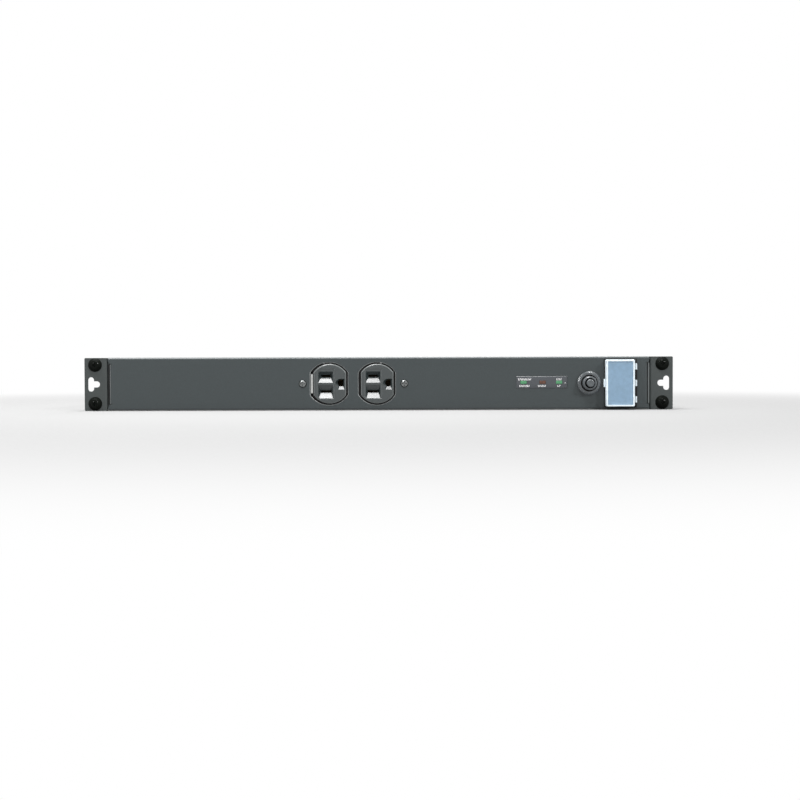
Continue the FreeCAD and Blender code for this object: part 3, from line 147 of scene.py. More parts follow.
# Breaker
BREAKER_X = 172.3
HOUSING_EDGE = 0.6
NUT_RADIUS, NUT_GROOVE, NUT_TEETH = 9.75, 0.5, 44
NUT_FRONT = FRONT_Y - 3.2
NUT_LIP, NUT_LIP_SHARE = 0.65, 0.905
NUT_STEP, NUT_STEP_DEPTH, NUT_STEP_SHARE = 6.9, 1.2, 0.97
NUT_BORE = 5.75
NECK_RADIUS, NECK_FRONT = 5.7, FRONT_Y - 8.5
NECK_EDGE, NECK_CHAMFER = 0.5, 0.9
NECK_LEDGE, NECK_LEDGE_DROP = 0.1, 0.05
NECK_MOUTH, NECK_MOUTH_DEPTH, NECK_MOUTH_EDGE = 4.1, 2.5, 0.2
THREAD_DEPTH, THREAD_PITCH, THREAD_END = 0.28, 0.9, 1.2
THREAD_ROOT, THREAD_CREST = 0.45, 0.9  # shares of the pitch
BUTTON_RADIUS, BUTTON_HOLE = 3.1, 3.25
BUTTON_FRONT, BUTTON_BACK = FRONT_Y - 12.5, FRONT_Y + 6.0
BUTTON_EDGE, BUTTON_EDGE_STEPS = 0.7, 5
DISH_SHARE, DISH_RIM, DISH_DEPTH = 0.6, 0.12, 0.2

# Switch and its cover
SWITCH_X = 197.05
COVER_HALF_X, COVER_HALF_Z = 11.65, 19.1
COVER_FRONT, COVER_BACK = -11.8, -4.7
COVER_WALL, COVER_CORNER = 1.4, 1.0
COVER_RIM, COVER_RECESS = 1.4, 0.6
COVER_STEP, COVER_DIP, COVER_BEAD = 1.3, 0.1, 0.35
LATCH_REACH, LATCH_HALF, LATCH_THICK, LATCH_EDGE = 1.4, 3.35, 1.6, 0.4
HINGE_X, HINGE_Y = 210.2, -5.9
KNUCKLE_RADIUS, KNUCKLE_HALF, KNUCKLE_PITCH, KNUCKLE_GAP = 1.2, 2.5, 13.5, 0.35
SEAT_Y, SEAT_EDGE = -4.4, 0.4
BASE_MARGIN = 0.6
BEZEL_Y, BEZEL_EDGE = -6.0, 0.45
BEZEL_HALF_X, BEZEL_HALF_Z = 9.3, 16.3
SWITCH_HALF_X, SWITCH_HALF_Z, SWITCH_BACK = 8.3, 14.2, 19.2
WELL_HALF_X, WELL_HALF_Z, WELL_DEPTH = 6.4, 12.5, 8.0
ROCKER_HALF_X, ROCKER_HALF_Z, ROCKER_EDGE = 6.1, 11.6, 0.5
ROCKER_PIVOT_Y, ROCKER_TILT = -2.5, math.radians(8)
ROCKER_TOP, ROCKER_DIP, ROCKER_KEEL = -4.7, 0.5, 3.2
ROCKER_KEEL_Z = ROCKER_HALF_Z / 3
ROCKER_MARK, ROCKER_MARK_Z, ROCKER_STROKE = 4.0, 6.5, 0.6

# Indicator window, the lamps' places and slots, and rows of strokes: middle, width and count
WINDOW_X, WINDOW_Z = 133.6, 0.7
WINDOW_HALF_X, WINDOW_HALF_Z = 20.8, 4.8
WINDOW_FRONT, WINDOW_EDGE, WINDOW_SLOPE = FRONT_Y - 0.6, 0.5, 0.92
WINDOW_FLANGE = 1.4
LEDS = {
    "protection_led": (118.8, "green_led"),
    "fault_led": (134.4, "red_led"),
    "line_led": (147.9, "green_led"),
}
LED_HALF_X, LED_HALF_Z, LED_STAND = 2.5, 1.3, 0.3
MARK_HEIGHT, MARK_STROKE, MARK_SHARE = 1.5, 0.45, 0.7
MARK_DOT_X, MARK_DOT_Z = (152.5, 153.1), (-0.2, 0.4)
MARK_ROWS = (
    (119.9, 3.1, 11.0, 10),
    (119.6, -2.3, 8.6, 8),
    (134.0, -2.3, 6.6, 6),
    (148.0, 3.1, 4.6, 4),
    (148.0, -2.3, 3.0, 2),
)

# Cord gland
GLAND_X = 195.8
GLAND_HEX, GLAND_BORE, GLAND_THREAD = 11.0, 5.2, 9.0
GLAND_HEX_LENGTH, GLAND_CAP_LENGTH, GLAND_TAIL = 5.0, 9.0, 9.2
GLAND_CHAMFER, GLAND_CHAMFER_SHARE = 0.6, 0.94
GLAND_MOUTH = 0.4
GLAND_LEAD, GLAND_GROOVE, GLAND_PITCH = 0.4, 0.4, 1.2
CAP_ROUNDING = ((1.0, 1.6), (1.5, 0.5), (2.0, 0.0))  # inward, and back from the end


# Shaping

def faces_in(geometry):
    return [g for g in geometry if isinstance(g, bmesh.types.BMFace)]


def verts_in(geometry):
    return [g for g in geometry if isinstance(g, bmesh.types.BMVert)]


def edges_in(geometry):
    return [g for g in geometry if isinstance(g, bmesh.types.BMEdge)]


def facing(point, outward):
    """A place whose own +Z points outward."""
    turn = Vector(outward).to_track_quat("Z", "Y").to_matrix().to_4x4()
    return Matrix.Translation(point) @ turn


def disc(bm, radius, place, segments=64):
    """A flat round face across the place's own Z."""
    made = bmesh.ops.create_circle(bm, cap_ends=True, segments=segments, radius=radius, matrix=place)
    return made["verts"][0].link_faces[0]


def outline(bm, corners, y):
    """A flat face across Y through x, z corners."""
    return bm.faces.new([bm.verts.new((x, y, z)) for x, z in corners])


def rectangle(bm, x0, x1, z0, z1, y):
    return outline(bm, [(x0, z0), (x1, z0), (x1, z1), (x0, z1)], y)


def centred_rectangle(bm, x, z, half_x, half_z, y):
    return rectangle(bm, x - half_x, x + half_x, z - half_z, z + half_z, y)


def mirrored(corners):
    """An outline that is the same on all four sides, from the corners of its upper right quarter."""
    right = [(x, -z) for x, z in reversed(corners)] + corners
    return right + [(-x, z) for x, z in reversed(right)]


def trim(bm, face, at, outward):
    """Cuts away what lies past a plane, and gives the face that is left."""
    geometry = [face, *face.edges, *face.verts]
    cut = bmesh.ops.bisect_plane(
        bm, geom=geometry, dist=FINE, plane_co=at, plane_no=outward, clear_outer=True
    )
    return faces_in(cut["geom"])[0]


def clipped_disc(bm, radius, x, y, x0, x1, z0, z1):
    """A disc across Y, cut straight at up to four sides."""
    face = disc(bm, radius, facing((x, y, 0), FRONT), segments=96)
    for at, outward in (
        ((x + x0, 0, 0), (-1, 0, 0)),
        ((x + x1, 0, 0), (1, 0, 0)),
        ((0, 0, z0), (0, 0, -1)),
        ((0, 0, z1), (0, 0, 1)),
    ):
        face = trim(bm, face, at, outward)
    return face


def remove(bm, faces):
    bmesh.ops.delete(bm, geom=faces, context="FACES_ONLY")


def paint(faces, place):
    """Gives faces one of the finishes in their piece's list."""
    for face in faces:
        face.material_index = place


def pierce(bm, face, holes):
    """Turns a face into a sheet round the holes, which stay as faces."""
    face.normal_update()
    normal, finish = face.normal.copy(), face.material_index
    edges = [*face.edges] + [e for hole in holes for e in hole.edges]
    remove(bm, [face])
    made = bmesh.ops.triangle_fill(bm, use_beauty=True, edges=edges, normal=normal)
    sheet = set(faces_in(made["geom"]))
    paint(sheet, finish)
    inner = [e for e in bm.edges if len(e.link_faces) == 2 and sheet.issuperset(e.link_faces)]
    bmesh.ops.dissolve_limit(bm, angle_limit=0.01, verts=[], edges=inner)


def cut_out(bm, face, holes):
    """Opens holes in a face."""
    pierce(bm, face, holes)
    remove(bm, holes)


def push(bm, face, move, scale=None, keep=False):
    """Extrudes a face, shrinks its copy about its own middle and moves it; the face goes unless kept."""
    made = bmesh.ops.extrude_face_region(bm, geom=[face])
    moved = verts_in(made["geom"])
    pushed = faces_in(made["geom"])[0]
    if not keep:
        remove(bm, [face])
    if scale is not None:
        middle = pushed.calc_center_bounds()
        bmesh.ops.scale(bm, vec=scale, verts=moved, space=Matrix.Translation(-middle))
    bmesh.ops.translate(bm, vec=move, verts=moved)
    return pushed


def narrowed(by, half_x, half_z):
    """Scale that takes a rim of this width off a face across Y."""
    return (1 - by / half_x, 1, 1 - by / half_z)


def sink(bm, face, slope, depth):
    """Sinks a face, with a sloping wall of even width round it."""
    bmesh.ops.inset_individual(bm, faces=[face], thickness=slope, depth=-depth, use_even_offset=True)


def walls(face):
    """The faces next to a face that was just pushed."""
    return {f for e in face.edges for f in e.link_faces} - {face}


def off_axis(face, place):
    """How far a face's middle is from the place's own Z, and how high it is along it."""
    middle = place.inverted() @ face.calc_center_median()
    return math.hypot(middle.x, middle.y), middle.z


def level_face(bm, y, x):
    """The widest flat face at this y, near this x."""
    flat = [f for f in bm.faces if all(abs(v.co.y - y) < FINE for v in f.verts)]
    near = [f for f in flat if abs(f.calc_center_bounds().x - x) < NEAR]
    return max(near, key=lambda f: f.calc_area())


def bevel(bm, sharp, width, segments, affect, finish=-1):
    return bmesh.ops.bevel(
        bm,
        geom=sharp,
        offset=width,
        offset_type="OFFSET",
        segments=segments,
        profile=0.5,
        affect=affect,
        material=finish,
    )


def round_corners(bm, corners, radius, segments=6):
    """Rounds corners of a flat face, and gives the face."""
    made = bevel(bm, corners, radius, segments, "VERTICES")
    return made["verts"][0].link_faces[0]


def rounded_rectangle(bm, x, half_x, half_z, y, radius):
    face = centred_rectangle(bm, x, 0, half_x, half_z, y)
    return round_corners(bm, list(face.verts), radius)


def edge_where(bm, test):
    return next(e for e in bm.edges if all(test(v.co) for v in e.verts))


def fold(bm, edge, centre, axis, turn, reach):
    """Bends a sheet on from an edge and runs it straight on; gives the straight run."""
    bent = bmesh.ops.spin(
        bm, geom=[edge, *edge.verts], cent=centre, axis=axis, angle=turn, steps=FOLD_STEPS
    )
    run = bmesh.ops.extrude_edge_only(bm, edges=edges_in(bent["geom_last"]))["geom"]
    bmesh.ops.translate(bm, vec=reach, verts=verts_in(run))
    return faces_in(run)[0]


def thicken(bm, thickness, outward):
    """Gives a folded skin its thickness on the inside; outward is the way that its widest face looks."""
    bmesh.ops.remove_doubles(bm, verts=bm.verts, dist=FINE)
    bmesh.ops.recalc_face_normals(bm, faces=bm.faces)
    widest = max(bm.faces, key=lambda f: f.calc_area() * abs(f.normal.dot(outward)))
    if widest.normal.dot(outward) < 0:
        bmesh.ops.reverse_faces(bm, faces=bm.faces)
    bmesh.ops.solidify(bm, geom=bm.faces[:], thickness=thickness)


def soften(bm, width, segments=2, least=40, edges=None, finish=-1):
    """Rounds sharp edges, in a finish of their own if one is named."""
    angle = math.radians(least)
    sharp = [e for e in edges or bm.edges if e.is_manifold and e.calc_face_angle() > angle]
    bevel(bm, sharp, width, segments, "EDGES", finish)


def lathe(bm, profile, place, steps=48):
    """Turns a line of radius, height points about the place's own Z."""
    verts = [bm.verts.new(place @ Vector((radius, 0, height))) for radius, height in profile]
    edges = [bm.edges.new(pair) for pair in zip(verts, verts[1:])]
    axis = place.to_3x3() @ UP
    bmesh.ops.spin(
        bm,
        geom=verts + edges,
        cent=place.translation,
        axis=axis,
        angle=2 * math.pi,
        steps=steps,
        use_merge=True,
    )


def block(bm, x0, x1, y0, y1, z0, z1):
    """A box; gives its corners."""
    middle = Vector((x0 + x1, y0 + y1, z0 + z1)) / 2
    size = Matrix.Diagonal((x1 - x0, y1 - y0, z1 - z0, 1))
    return bmesh.ops.create_cube(bm, size=1, matrix=Matrix.Translation(middle) @ size)["verts"]


def add_object(name, data):
    obj = bpy.data.objects.new(name, data)
    bpy.context.scene.collection.objects.link(obj)
    return obj


def mesh_object(name, bm, finish):
    mesh = bpy.data.meshes.new(name)
    bm.to_mesh(mesh)
    bm.free()
    for material in finish:
        mesh.materials.append(material)
    return add_object(name, mesh)


def piece(name, bm, slot, nodes=(), body="chassis", finish=None, crease=CREASE):
    """Makes a shaped mesh a piece that stands for nodes of the part, in its slot's finish by default."""
    bmesh.ops.remove_doubles(bm, verts=bm.verts, dist=FINE)
    bmesh.ops.recalc_face_normals(bm, faces=bm.faces)
    bmesh.ops.scale(bm, vec=(MM, MM, MM), verts=bm.verts)
    obj = mesh_object(name, bm, finish or [FINISHES[slot]])
    obj.data.shade_smooth()
    obj.data.set_sharp_from_angle(angle=math.radians(crease))
    obj.modifiers.new("even_shading", "WEIGHTED_NORMAL").keep_sharp = True
    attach(obj, body)
    if nodes:
        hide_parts(*nodes)


# Finishes

RAMP_SPAN = (0.35, 0.65)  # where a ramp leaves its first colour and reaches its last


def fed_node(tree, kind, *sources):
    """A new shader node with its first sockets fed from these sources."""
    made = tree.nodes.new(kind)
    for socket, source in zip(made.inputs, sources):
        tree.links.new(source, socket)
    return made


def shader(name, colour, roughness, metallic=0.0, specular=0.5):
    material = bpy.data.materials.new(name)
    material.use_nodes = True
    surface = material.node_tree.nodes["Principled BSDF"]
    surface.inputs["Base Color"].default_value = (*colour, 1.0)
    surface.inputs["Roughness"].default_value = roughness
    surface.inputs["Metallic"].default_value = metallic
    surface.inputs["Specular IOR Level"].default_value = specular
    return material, material.node_tree, surface


def speckle(tree, size, detail=2.0):
    """Noise with spots of about this size in millimetres."""
    where = tree.nodes.new("ShaderNodeTexCoord")
    noise = fed_node(tree, "ShaderNodeTexNoise", where.outputs["Object"])
    noise.inputs["Scale"].default_value = 1 / (size * MM)
    noise.inputs["Detail"].default_value = detail
    return noise.outputs["Fac"]


def mottle(tree, surface, amount, colour, dark, light):
    """Lets a colour vary between two shares of itself."""
    ramp = fed_node(tree, "ShaderNodeValToRGB", amount)
    for stop, place, share in zip(ramp.color_ramp.elements, RAMP_SPAN, (dark, light)):
        stop.position = place
        stop.color = (*(share * c for c in colour), 1.0)
    tree.links.new(ramp.outputs["Color"], surface.inputs["Base Color"])


def roughen(tree, surface, amount, strength, depth):
    """Small bumps of this depth in millimetres."""
    bump = tree.nodes.new("ShaderNodeBump")
    bump.inputs["Strength"].default_value = strength
    bump.inputs["Distance"].default_value = depth * MM
    tree.links.new(amount, bump.inputs["Height"])
    tree.links.new(bump.outputs["Normal"], surface.inputs["Normal"])


def grained_paint(name, colour, roughness=0.36, specular=0.5):
    """Satin paint with a fine grain."""
    material, tree, surface = shader(name, colour, roughness, specular=specular)
    fine = speckle(tree, size=0.5, detail=3.0)
    mottle(tree, surface, fine, colour, dark=0.9, light=1.1)
    roughen(tree, surface, fine, strength=0.25, depth=0.05)
    return material


def moulded_plastic(name, colour, roughness, specular=0.5):
    material, tree, surface = shader(name, colour, roughness, specular=specular)
    fine = speckle(tree, size=0.4)
    mottle(tree, surface, fine, colour, dark=0.93, light=1.07)
    roughen(tree, surface, fine, strength=0.12, depth=0.03)
    return material


def plated_metal(name, colour, roughness):
    material, tree, surface = shader(name, colour, roughness, metallic=1.0)
    mottle(tree, surface, speckle(tree, size=1.5, detail=4.0), colour, dark=0.85, light=1.1)
    roughen(tree, surface, speckle(tree, size=0.25), strength=0.15, depth=0.02)
    return material


def lamp_lens(name, colour, glow):
    """Tinted lens of a lamp; glow is how strongly it is lit."""
    material, tree, surface = shader(name, colour, roughness=0.2)
    surface.inputs["Emission Color"].default_value = (*colour, 1.0)
    surface.inputs["Emission Strength"].default_value = glow
    mottle(tree, surface, speckle(tree, size=1.2), colour, dark=0.8, light=1.25)
    return material


def frosted_plastic(name, colour, clear):
    """Cloudy see-through plastic."""
    material, tree, surface = shader(name, colour, roughness=0.35)
    surface.inputs["Transmission Weight"].default_value = clear
    surface.inputs["IOR"].default_value = 1.45
    mottle(tree, surface, speckle(tree, size=2.5, detail=3.0), colour, dark=0.92, light=1.03)
    roughen(tree, surface, speckle(tree, size=0.6), strength=0.15, depth=0.05)
    return material


# What makes the finish of each slot of the part: its kind, its colour and its kind's other values
SLOT_FINISHES = {
    "case_paint": (grained_paint, (0.0345, 0.0435, 0.0455)),
    "ear_paint": (grained_paint, (0.038, 0.045, 0.044)),
    "black_steel": (moulded_plastic, (0.001, 0.002, 0.001), 0.07, 0.11),
    "bright_steel": (plated_metal, (0.23, 0.24, 0.24), 0.3),
    "outlet_plastic": (moulded_plastic, (0.030, 0.038, 0.039), 0.2, 0.85),
    "base_plastic": (moulded_plastic, (0.02, 0.02, 0.02), 0.5),
    "zinc_steel": (plated_metal, (0.68, 0.69, 0.67), 0.35),
    "contact_brass": (plated_metal, (0.045, 0.034, 0.018), 0.5),
    "window_plastic": (moulded_plastic, (0.030, 0.036, 0.044), 0.15, 1.0),
    "green_led": (lamp_lens, (0.060, 0.21, 0.10), 0.2),
    "red_led": (lamp_lens, (0.095, 0.040, 0.024), 0.0),
    "board_laminate": (moulded_plastic, (0.02, 0.15, 0.05), 0.4),
    "black_plastic": (moulded_plastic, (0.022, 0.024, 0.025), 0.38),
    "frosted_plastic": (frosted_plastic, (0.82, 0.91, 0.96), 0.06),
    "varistor_coat": (moulded_plastic, (0.03, 0.12, 0.40), 0.4),
    "capacitor_case": (moulded_plastic, (0.50, 0.42, 0.08), 0.4),
    "ferrite": (moulded_plastic, (0.05, 0.05, 0.05), 0.6),
    "enamelled_copper": (plated_metal, (0.60, 0.25, 0.10), 0.3),
    "fuse_case": (moulded_plastic, (0.60, 0.58, 0.50), 0.5),
    "black_wire": (moulded_plastic, (0.015, 0.015, 0.015), 0.45),
    "white_wire": (moulded_plastic, (0.70, 0.70, 0.68), 0.45),
    "green_wire": (moulded_plastic, (0.02, 0.25, 0.06), 0.45),
}
FINISHES = {slot: make(slot, *values) for slot, (make, *values) in SLOT_FINISHES.items()}

# Finishes for places on a piece, and for print
# Pale paint that stands in for light: painted highlight on the openings' rims, the left tab's bend and
# the bottom fold
PAINTED_HIGHLIGHT = grained_paint("painted_highlight", (0.24, 0.25, 0.25))
# Painted highlight on the front of the right tongue in the seam beside the front face
SEAM_HIGHLIGHT = grained_paint("seam_highlight", (0.11, 0.12, 0.12))
# Painted highlight on the receptacle faces' slopes and on their pockets' walls
OUTLET_HIGHLIGHT = moulded_plastic("outlet_highlight", (0.12, 0.13, 0.13), 0.3)
PANE = frosted_plastic("frosted_pane", (0.285, 0.43, 0.58), 0.25)
PANE_STEP = frosted_plastic("frosted_step", (0.35, 0.48, 0.60), 0.2)
BREAKER_PLASTIC = moulded_plastic("breaker_plastic", (0.066, 0.076, 0.083), 0.25, 0.85)
# Near-black finish that stands in for shade: painted shade in the seams, behind the receptacle faces, in
# the breaker's hollows and on the switch lid's frame
PAINTED_SHADE = moulded_plastic("shaded_plastic", (0.008, 0.008, 0.008), 0.6, 0.2)
# Painted shade on the outer ring of a domed screw head
SCREW_SHADE = moulded_plastic("shaded_steel", (0.005, 0.006, 0.005), 0.5, 0.03)
PRINT = moulded_plastic("white_print", (0.80, 0.80, 0.80), 0.5)


def dress_part():
    """Gives every node of the part the finish of its slot."""
    slots = {row["node"]: row["material_slot"] for row in frame["record"]["subparts"]}
    for name, obj in frame["nodes"].items():
        for held in obj.material_slots:
            held.material = FINISHES[slots[name]]


# Case and ears

def outlet_cutouts(bm, x, y, slacks=(0.0, 0.0)):
    """Openings in a sheet for one receptacle and its two screws."""
    radius, half = FACE_RADIUS + FACE_GAP, FACE_HALF + FLAT_GAP
    holes = []
    for face_x, slack in zip(FACE_XS, slacks):
        hole = clipped_disc(bm, radius, x + face_x, y, -half, half, -radius, radius)
        left = [v for v in hole.verts if v.co.x < x + face_x - FINE]
        bmesh.ops.translate(bm, vec=(-slack, 0, 0), verts=left)
        holes.append(hole)
    for side in (-1, 1):
        place = facing((x + side * SCREW_X, y, 0), FRONT)
        holes.append(disc(bm, OUTLET_SCREW.shank + PLAY, place, segments=24))
    return holes


def cutout_edges(bm, y, xs):
    """Outer edges of the receptacles' openings in a sheet."""
    reach = FACE_XS[1] + FACE_RADIUS + FACE_GAP
    high = FACE_RADIUS + FACE_GAP + FINE

    def beside_face(p):
        near = any(abs(p.x - x) < reach for x in xs)
        return near and abs(p.z) < high and abs(p.y - y) < FINE

    return [e for e in bm.edges if all(beside_face(v.co) for v in e.verts)]


def front_outline():
    """Corners of the front face, with a slanting slit above and below each side tab."""
    notch_x = TAB_BEND_X - TAB_RELIEF_REACH
    slit = [(TAB_BEND_X, TAB_HALF), (notch_x, TAB_HALF), (TAB_X, TAB_HALF + TAB_SLIT)]
    return mirrored(slit + [(HALF_WIDTH, TAB_HALF + TAB_RELIEF), (HALF_WIDTH, LIP_Z)])


def front_openings(bm):
    """Openings in the front face for receptacle, window, breaker and switch."""
    holes = outlet_cutouts(bm, OUTLET_X, FRONT_Y, (SIDE_SLACK, MIDDLE_SLACK))
    wide, high = WINDOW_HALF_X + PLAY, WINDOW_HALF_Z + PLAY
    holes.append(centred_rectangle(bm, WINDOW_X, WINDOW_Z, wide, high, FRONT_Y))
    holes.append(disc(bm, NUT_BORE, facing((BREAKER_X, FRONT_Y, 0), FRONT)))
    wide, high = SWITCH_HALF_X + PLAY, SWITCH_HALF_Z + PLAY
    holes.append(centred_rectangle(bm, SWITCH_X, 0, wide, high, FRONT_Y))
    return holes


def fold_front(bm):
    """Folds the top, the bottom and the two side tabs back from the front face."""
    bend_y = FRONT_Y + FOLD
    for side in (1, -1):
        edge = edge_where(bm, lambda p: abs(p.z - side * LIP_Z) < FINE and abs(p.y - FRONT_Y) < FINE)
        reach = (0, REAR_Y - bend_y, 0)
        run = fold(bm, edge, (0, bend_y, side * LIP_Z), (1, 0, 0), -side * QUARTER, reach)
        if side > 0:
            places = [facing((x, CASE_SCREW_Y, HALF_HEIGHT), UP) for x in CASE_SCREW_XS]
            radius = CASE_SCREW.head + PLAY
            cut_out(bm, run, [disc(bm, radius, place, HOLE_SIDES) for place in places])
    for side in (1, -1):
        bend_x = side * TAB_BEND_X
        edge = edge_where(bm, lambda p: abs(p.x - bend_x) < FINE and abs(p.y - FRONT_Y) < FINE)
        fold(bm, edge, (bend_x, bend_y, 0), (0, 0, 1), side * QUARTER, (0, TAB_DEPTH - FOLD, 0))


def paint_front(bm):
    """Paints highlight on the front sheet's faces that turn left on the tabs or down on the bottom fold,
    and shade on the tab faces that turn right.
    """
    for face in bm.faces:
        middle = face.calc_center_median()
        on_tab = abs(middle.x) > TAB_BEND_X and abs(middle.z) < TAB_HALF
        if on_tab and face.normal.x > TURNED:
            face.material_index = THIRD
        elif on_tab and face.normal.x < -HALF_TURNED:
            face.material_index = SECOND
        elif face.normal.z < -HALF_TURNED and middle.y < FRONT_Y + FOLD:
            face.material_index = SECOND


def slant_cutout(bm):
    """Slants the left edge of the left opening inward, so that less of the strap shows in it, and paints
    shade on that edge's wall.
    """
    left_x = OUTLET_X + FACE_XS[0] - FACE_HALF - FLAT_GAP - SIDE_SLACK
    left = [v for v in bm.verts if abs(v.co.x - left_x) < FINE]
    paint({f for v in left for f in v.link_faces if abs(f.normal.x) > TURNED}, THIRD)
    inner = [v for v in left if v.co.y > FRONT_Y + FINE]
    bmesh.ops.translate(bm, vec=(SIDE_TAPER, 0, 0), verts=inner)


def case_front():
    """Front face, top and bottom in one folded sheet, with a tab folded back at each end."""
    bm = bmesh.new()
    face = outline(bm, front_outline(), FRONT_Y)
    cut_out(bm, face, front_openings(bm))
    fold_front(bm)
    thicken(bm, SHEET, FRONT)
    paint_front(bm)
    slant_cutout(bm)
    # Painted highlight on the rims of the receptacle's openings
    soften(bm, CUTOUT_EDGE, edges=cutout_edges(bm, FRONT_Y, [OUTLET_X]), finish=SECOND)
    soften(bm, SHEET_EDGE)
    finish = [FINISHES["case_paint"], PAINTED_HIGHLIGHT, PAINTED_SHADE]
    piece("case_front", bm, "case_paint", ["front_shell"], finish=finish)


def case_rear():
    """Rear face with a flange folded forward on each edge."""
    bm = bmesh.new()
    bend_x, bend_y, bend_z = TAB_BEND_X, REAR_Y - FOLD, PAN_HALF - FOLD
    cut_x, cut_z = bend_x - CORNER_NOTCH, bend_z - CORNER_NOTCH
    face = outline(bm, mirrored([(bend_x, cut_z), (cut_x, cut_z), (cut_x, bend_z)]), REAR_Y)
    holes = [h for x in REAR_OUTLET_XS for h in outlet_cutouts(bm, x, REAR_Y)]
    holes.append(disc(bm, GLAND_THREAD + PLAY, facing((GLAND_X, REAR_Y, 0), REAR)))
    cut_out(bm, face, holes)
    reach = (0, FOLD - REAR_FLANGE, 0)
    for side in (1, -1):
        edge = edge_where(bm, lambda p: abs(p.z - side * bend_z) < FINE)
        fold(bm, edge, (0, bend_y, side * bend_z), (1, 0, 0), side * QUARTER, reach)
        edge = edge_where(bm, lambda p: abs(p.x - side * bend_x) < FINE)
        fold(bm, edge, (side * bend_x, bend_y, 0), (0, 0, 1), -side * QUARTER, reach)
    thicken(bm, SHEET, REAR)
    # Painted highlight on the rims of the receptacles' openings
    soften(bm, CUTOUT_EDGE, edges=cutout_edges(bm, REAR_Y, REAR_OUTLET_XS), finish=SECOND)
    soften(bm, SHEET_EDGE)
    finish = [FINISHES["case_paint"], PAINTED_HIGHLIGHT]
    piece("case_rear", bm, "case_paint", ["rear_shell"], finish=finish)


def case_sides():
    """Side walls outside the folds, each with a tongue that fills the seam beside the front face."""
    bm = bmesh.new()
    tongue, front = FRONT_Y + WALL_SETBACK, FRONT_Y + FOLD + LAP
    half = [(tongue, TAB_HALF), (front, TAB_HALF), (front, PAN_HALF), (REAR_Y, PAN_HALF)]
    corners = half + [(y, -z) for y, z in reversed(half)]
    for side in (1, -1):
        x = side * HALF_WIDTH
        wall = bm.faces.new([bm.verts.new((x, y, z)) for y, z in corners])
        place = facing((x, CASE_SCREW_Y, 0), (side, 0, 0))
        cut_out(bm, wall, [disc(bm, CASE_SCREW.head + PLAY, place, HOLE_SIDES)])
        skin = [f for f in bm.faces if abs(f.calc_center_median().x - x) < FINE]
        bmesh.ops.recalc_face_normals(bm, faces=skin)
        if skin[0].normal.x * side < 0:
            bmesh.ops.reverse_faces(bm, faces=skin)
        bmesh.ops.solidify(bm, geom=skin, thickness=SHEET)
    # Painted highlight on the right tongue's front and painted shade on the left tongue's front
    for face in bm.faces:
        middle = face.calc_center_median()
        if abs(middle.y - tongue) < FINE:
            face.material_index = SECOND if middle.x > 0 else THIRD
    soften(bm, SHEET_EDGE)
    finish = [FINISHES["case_paint"], SEAM_HIGHLIGHT, PAINTED_SHADE]
    piece("case_sides", bm, "case_paint", ["side_walls"], finish=finish)


def tee_slot(bm):
    """Keyhole in an ear: an upright bar with a stem toward the case."""
    neck, outer = TEE_BAR_X - TEE_HALF, TEE_BAR_X + TEE_HALF
    half = [(TEE_STEM_X, TEE_HALF), (neck, TEE_HALF), (neck, TEE_BAR_HALF), (outer, TEE_BAR_HALF)]
    corners = [(x, -z) for x, z in half] + list(reversed(half))
    face = outline(bm, corners, EAR_LOW.y)
    ends = [v for v in face.verts if abs(v.co.x - neck) > FINE or abs(v.co.z) > TEE_HALF + FINE]
    return round_corners(bm, ends, TEE_HALF - TEE_FLAT, segments=8)


def rack_ear(name, node, side):
    """Bracket folded from thicker sheet: a flange with rack holes and a leg along the case."""
    bm = bmesh.new()
    bend_x, half, y = EAR_LOW.x + EAR_FOLD, EAR_HIGH.z, EAR_LOW.y
    holes = [tee_slot(bm)]
    for z in (-RACK_Z, RACK_Z):
        holes.append(disc(bm, RACK_HOLE, facing((RACK_X, y, z), FRONT), HOLE_SIDES))
    face = rectangle(bm, bend_x, EAR_HIGH.x, -half, half, y)
    outer = [v for v in face.verts if v.co.x > RACK_X]
    cut_out(bm, round_corners(bm, outer, EAR_CORNER), holes)
    edge = edge_where(bm, lambda p: abs(p.x - bend_x) < FINE)
    reach = (0, EAR_HIGH.y - y - EAR_FOLD, 0)
    leg = fold(bm, edge, (bend_x, y + EAR_FOLD, 0), (0, 0, 1), -QUARTER, reach)
    places = [facing((EAR_LOW.x, EAR_SCREW_Y, z), (-1, 0, 0)) for z in (-EAR_SCREW_Z, EAR_SCREW_Z)]
    cut_out(bm, leg, [disc(bm, EAR_SCREW.head + PLAY, place, HOLE_SIDES) for place in places])
    thicken(bm, EAR_SHEET, FRONT)
    soften(bm, SHEET_EDGE)
    bmesh.ops.scale(bm, vec=(side, 1, 1), verts=bm.verts)
    piece(name, bm, "ear_paint", [node])


# Screws

def dome(size, start):
    """Radius, height points of a domed head, from a start radius out to its rim."""
    sphere = (size.head ** 2 + size.rise ** 2) / (2 * size.rise)
    first, last = math.asin(start / sphere), math.asin(size.head / sphere)
    turns = [first + (last - first) * step / DOME_STEPS for step in range(DOME_STEPS + 1)]
    return [(sphere * math.sin(t), sphere * math.cos(t) - sphere + size.rise) for t in turns]


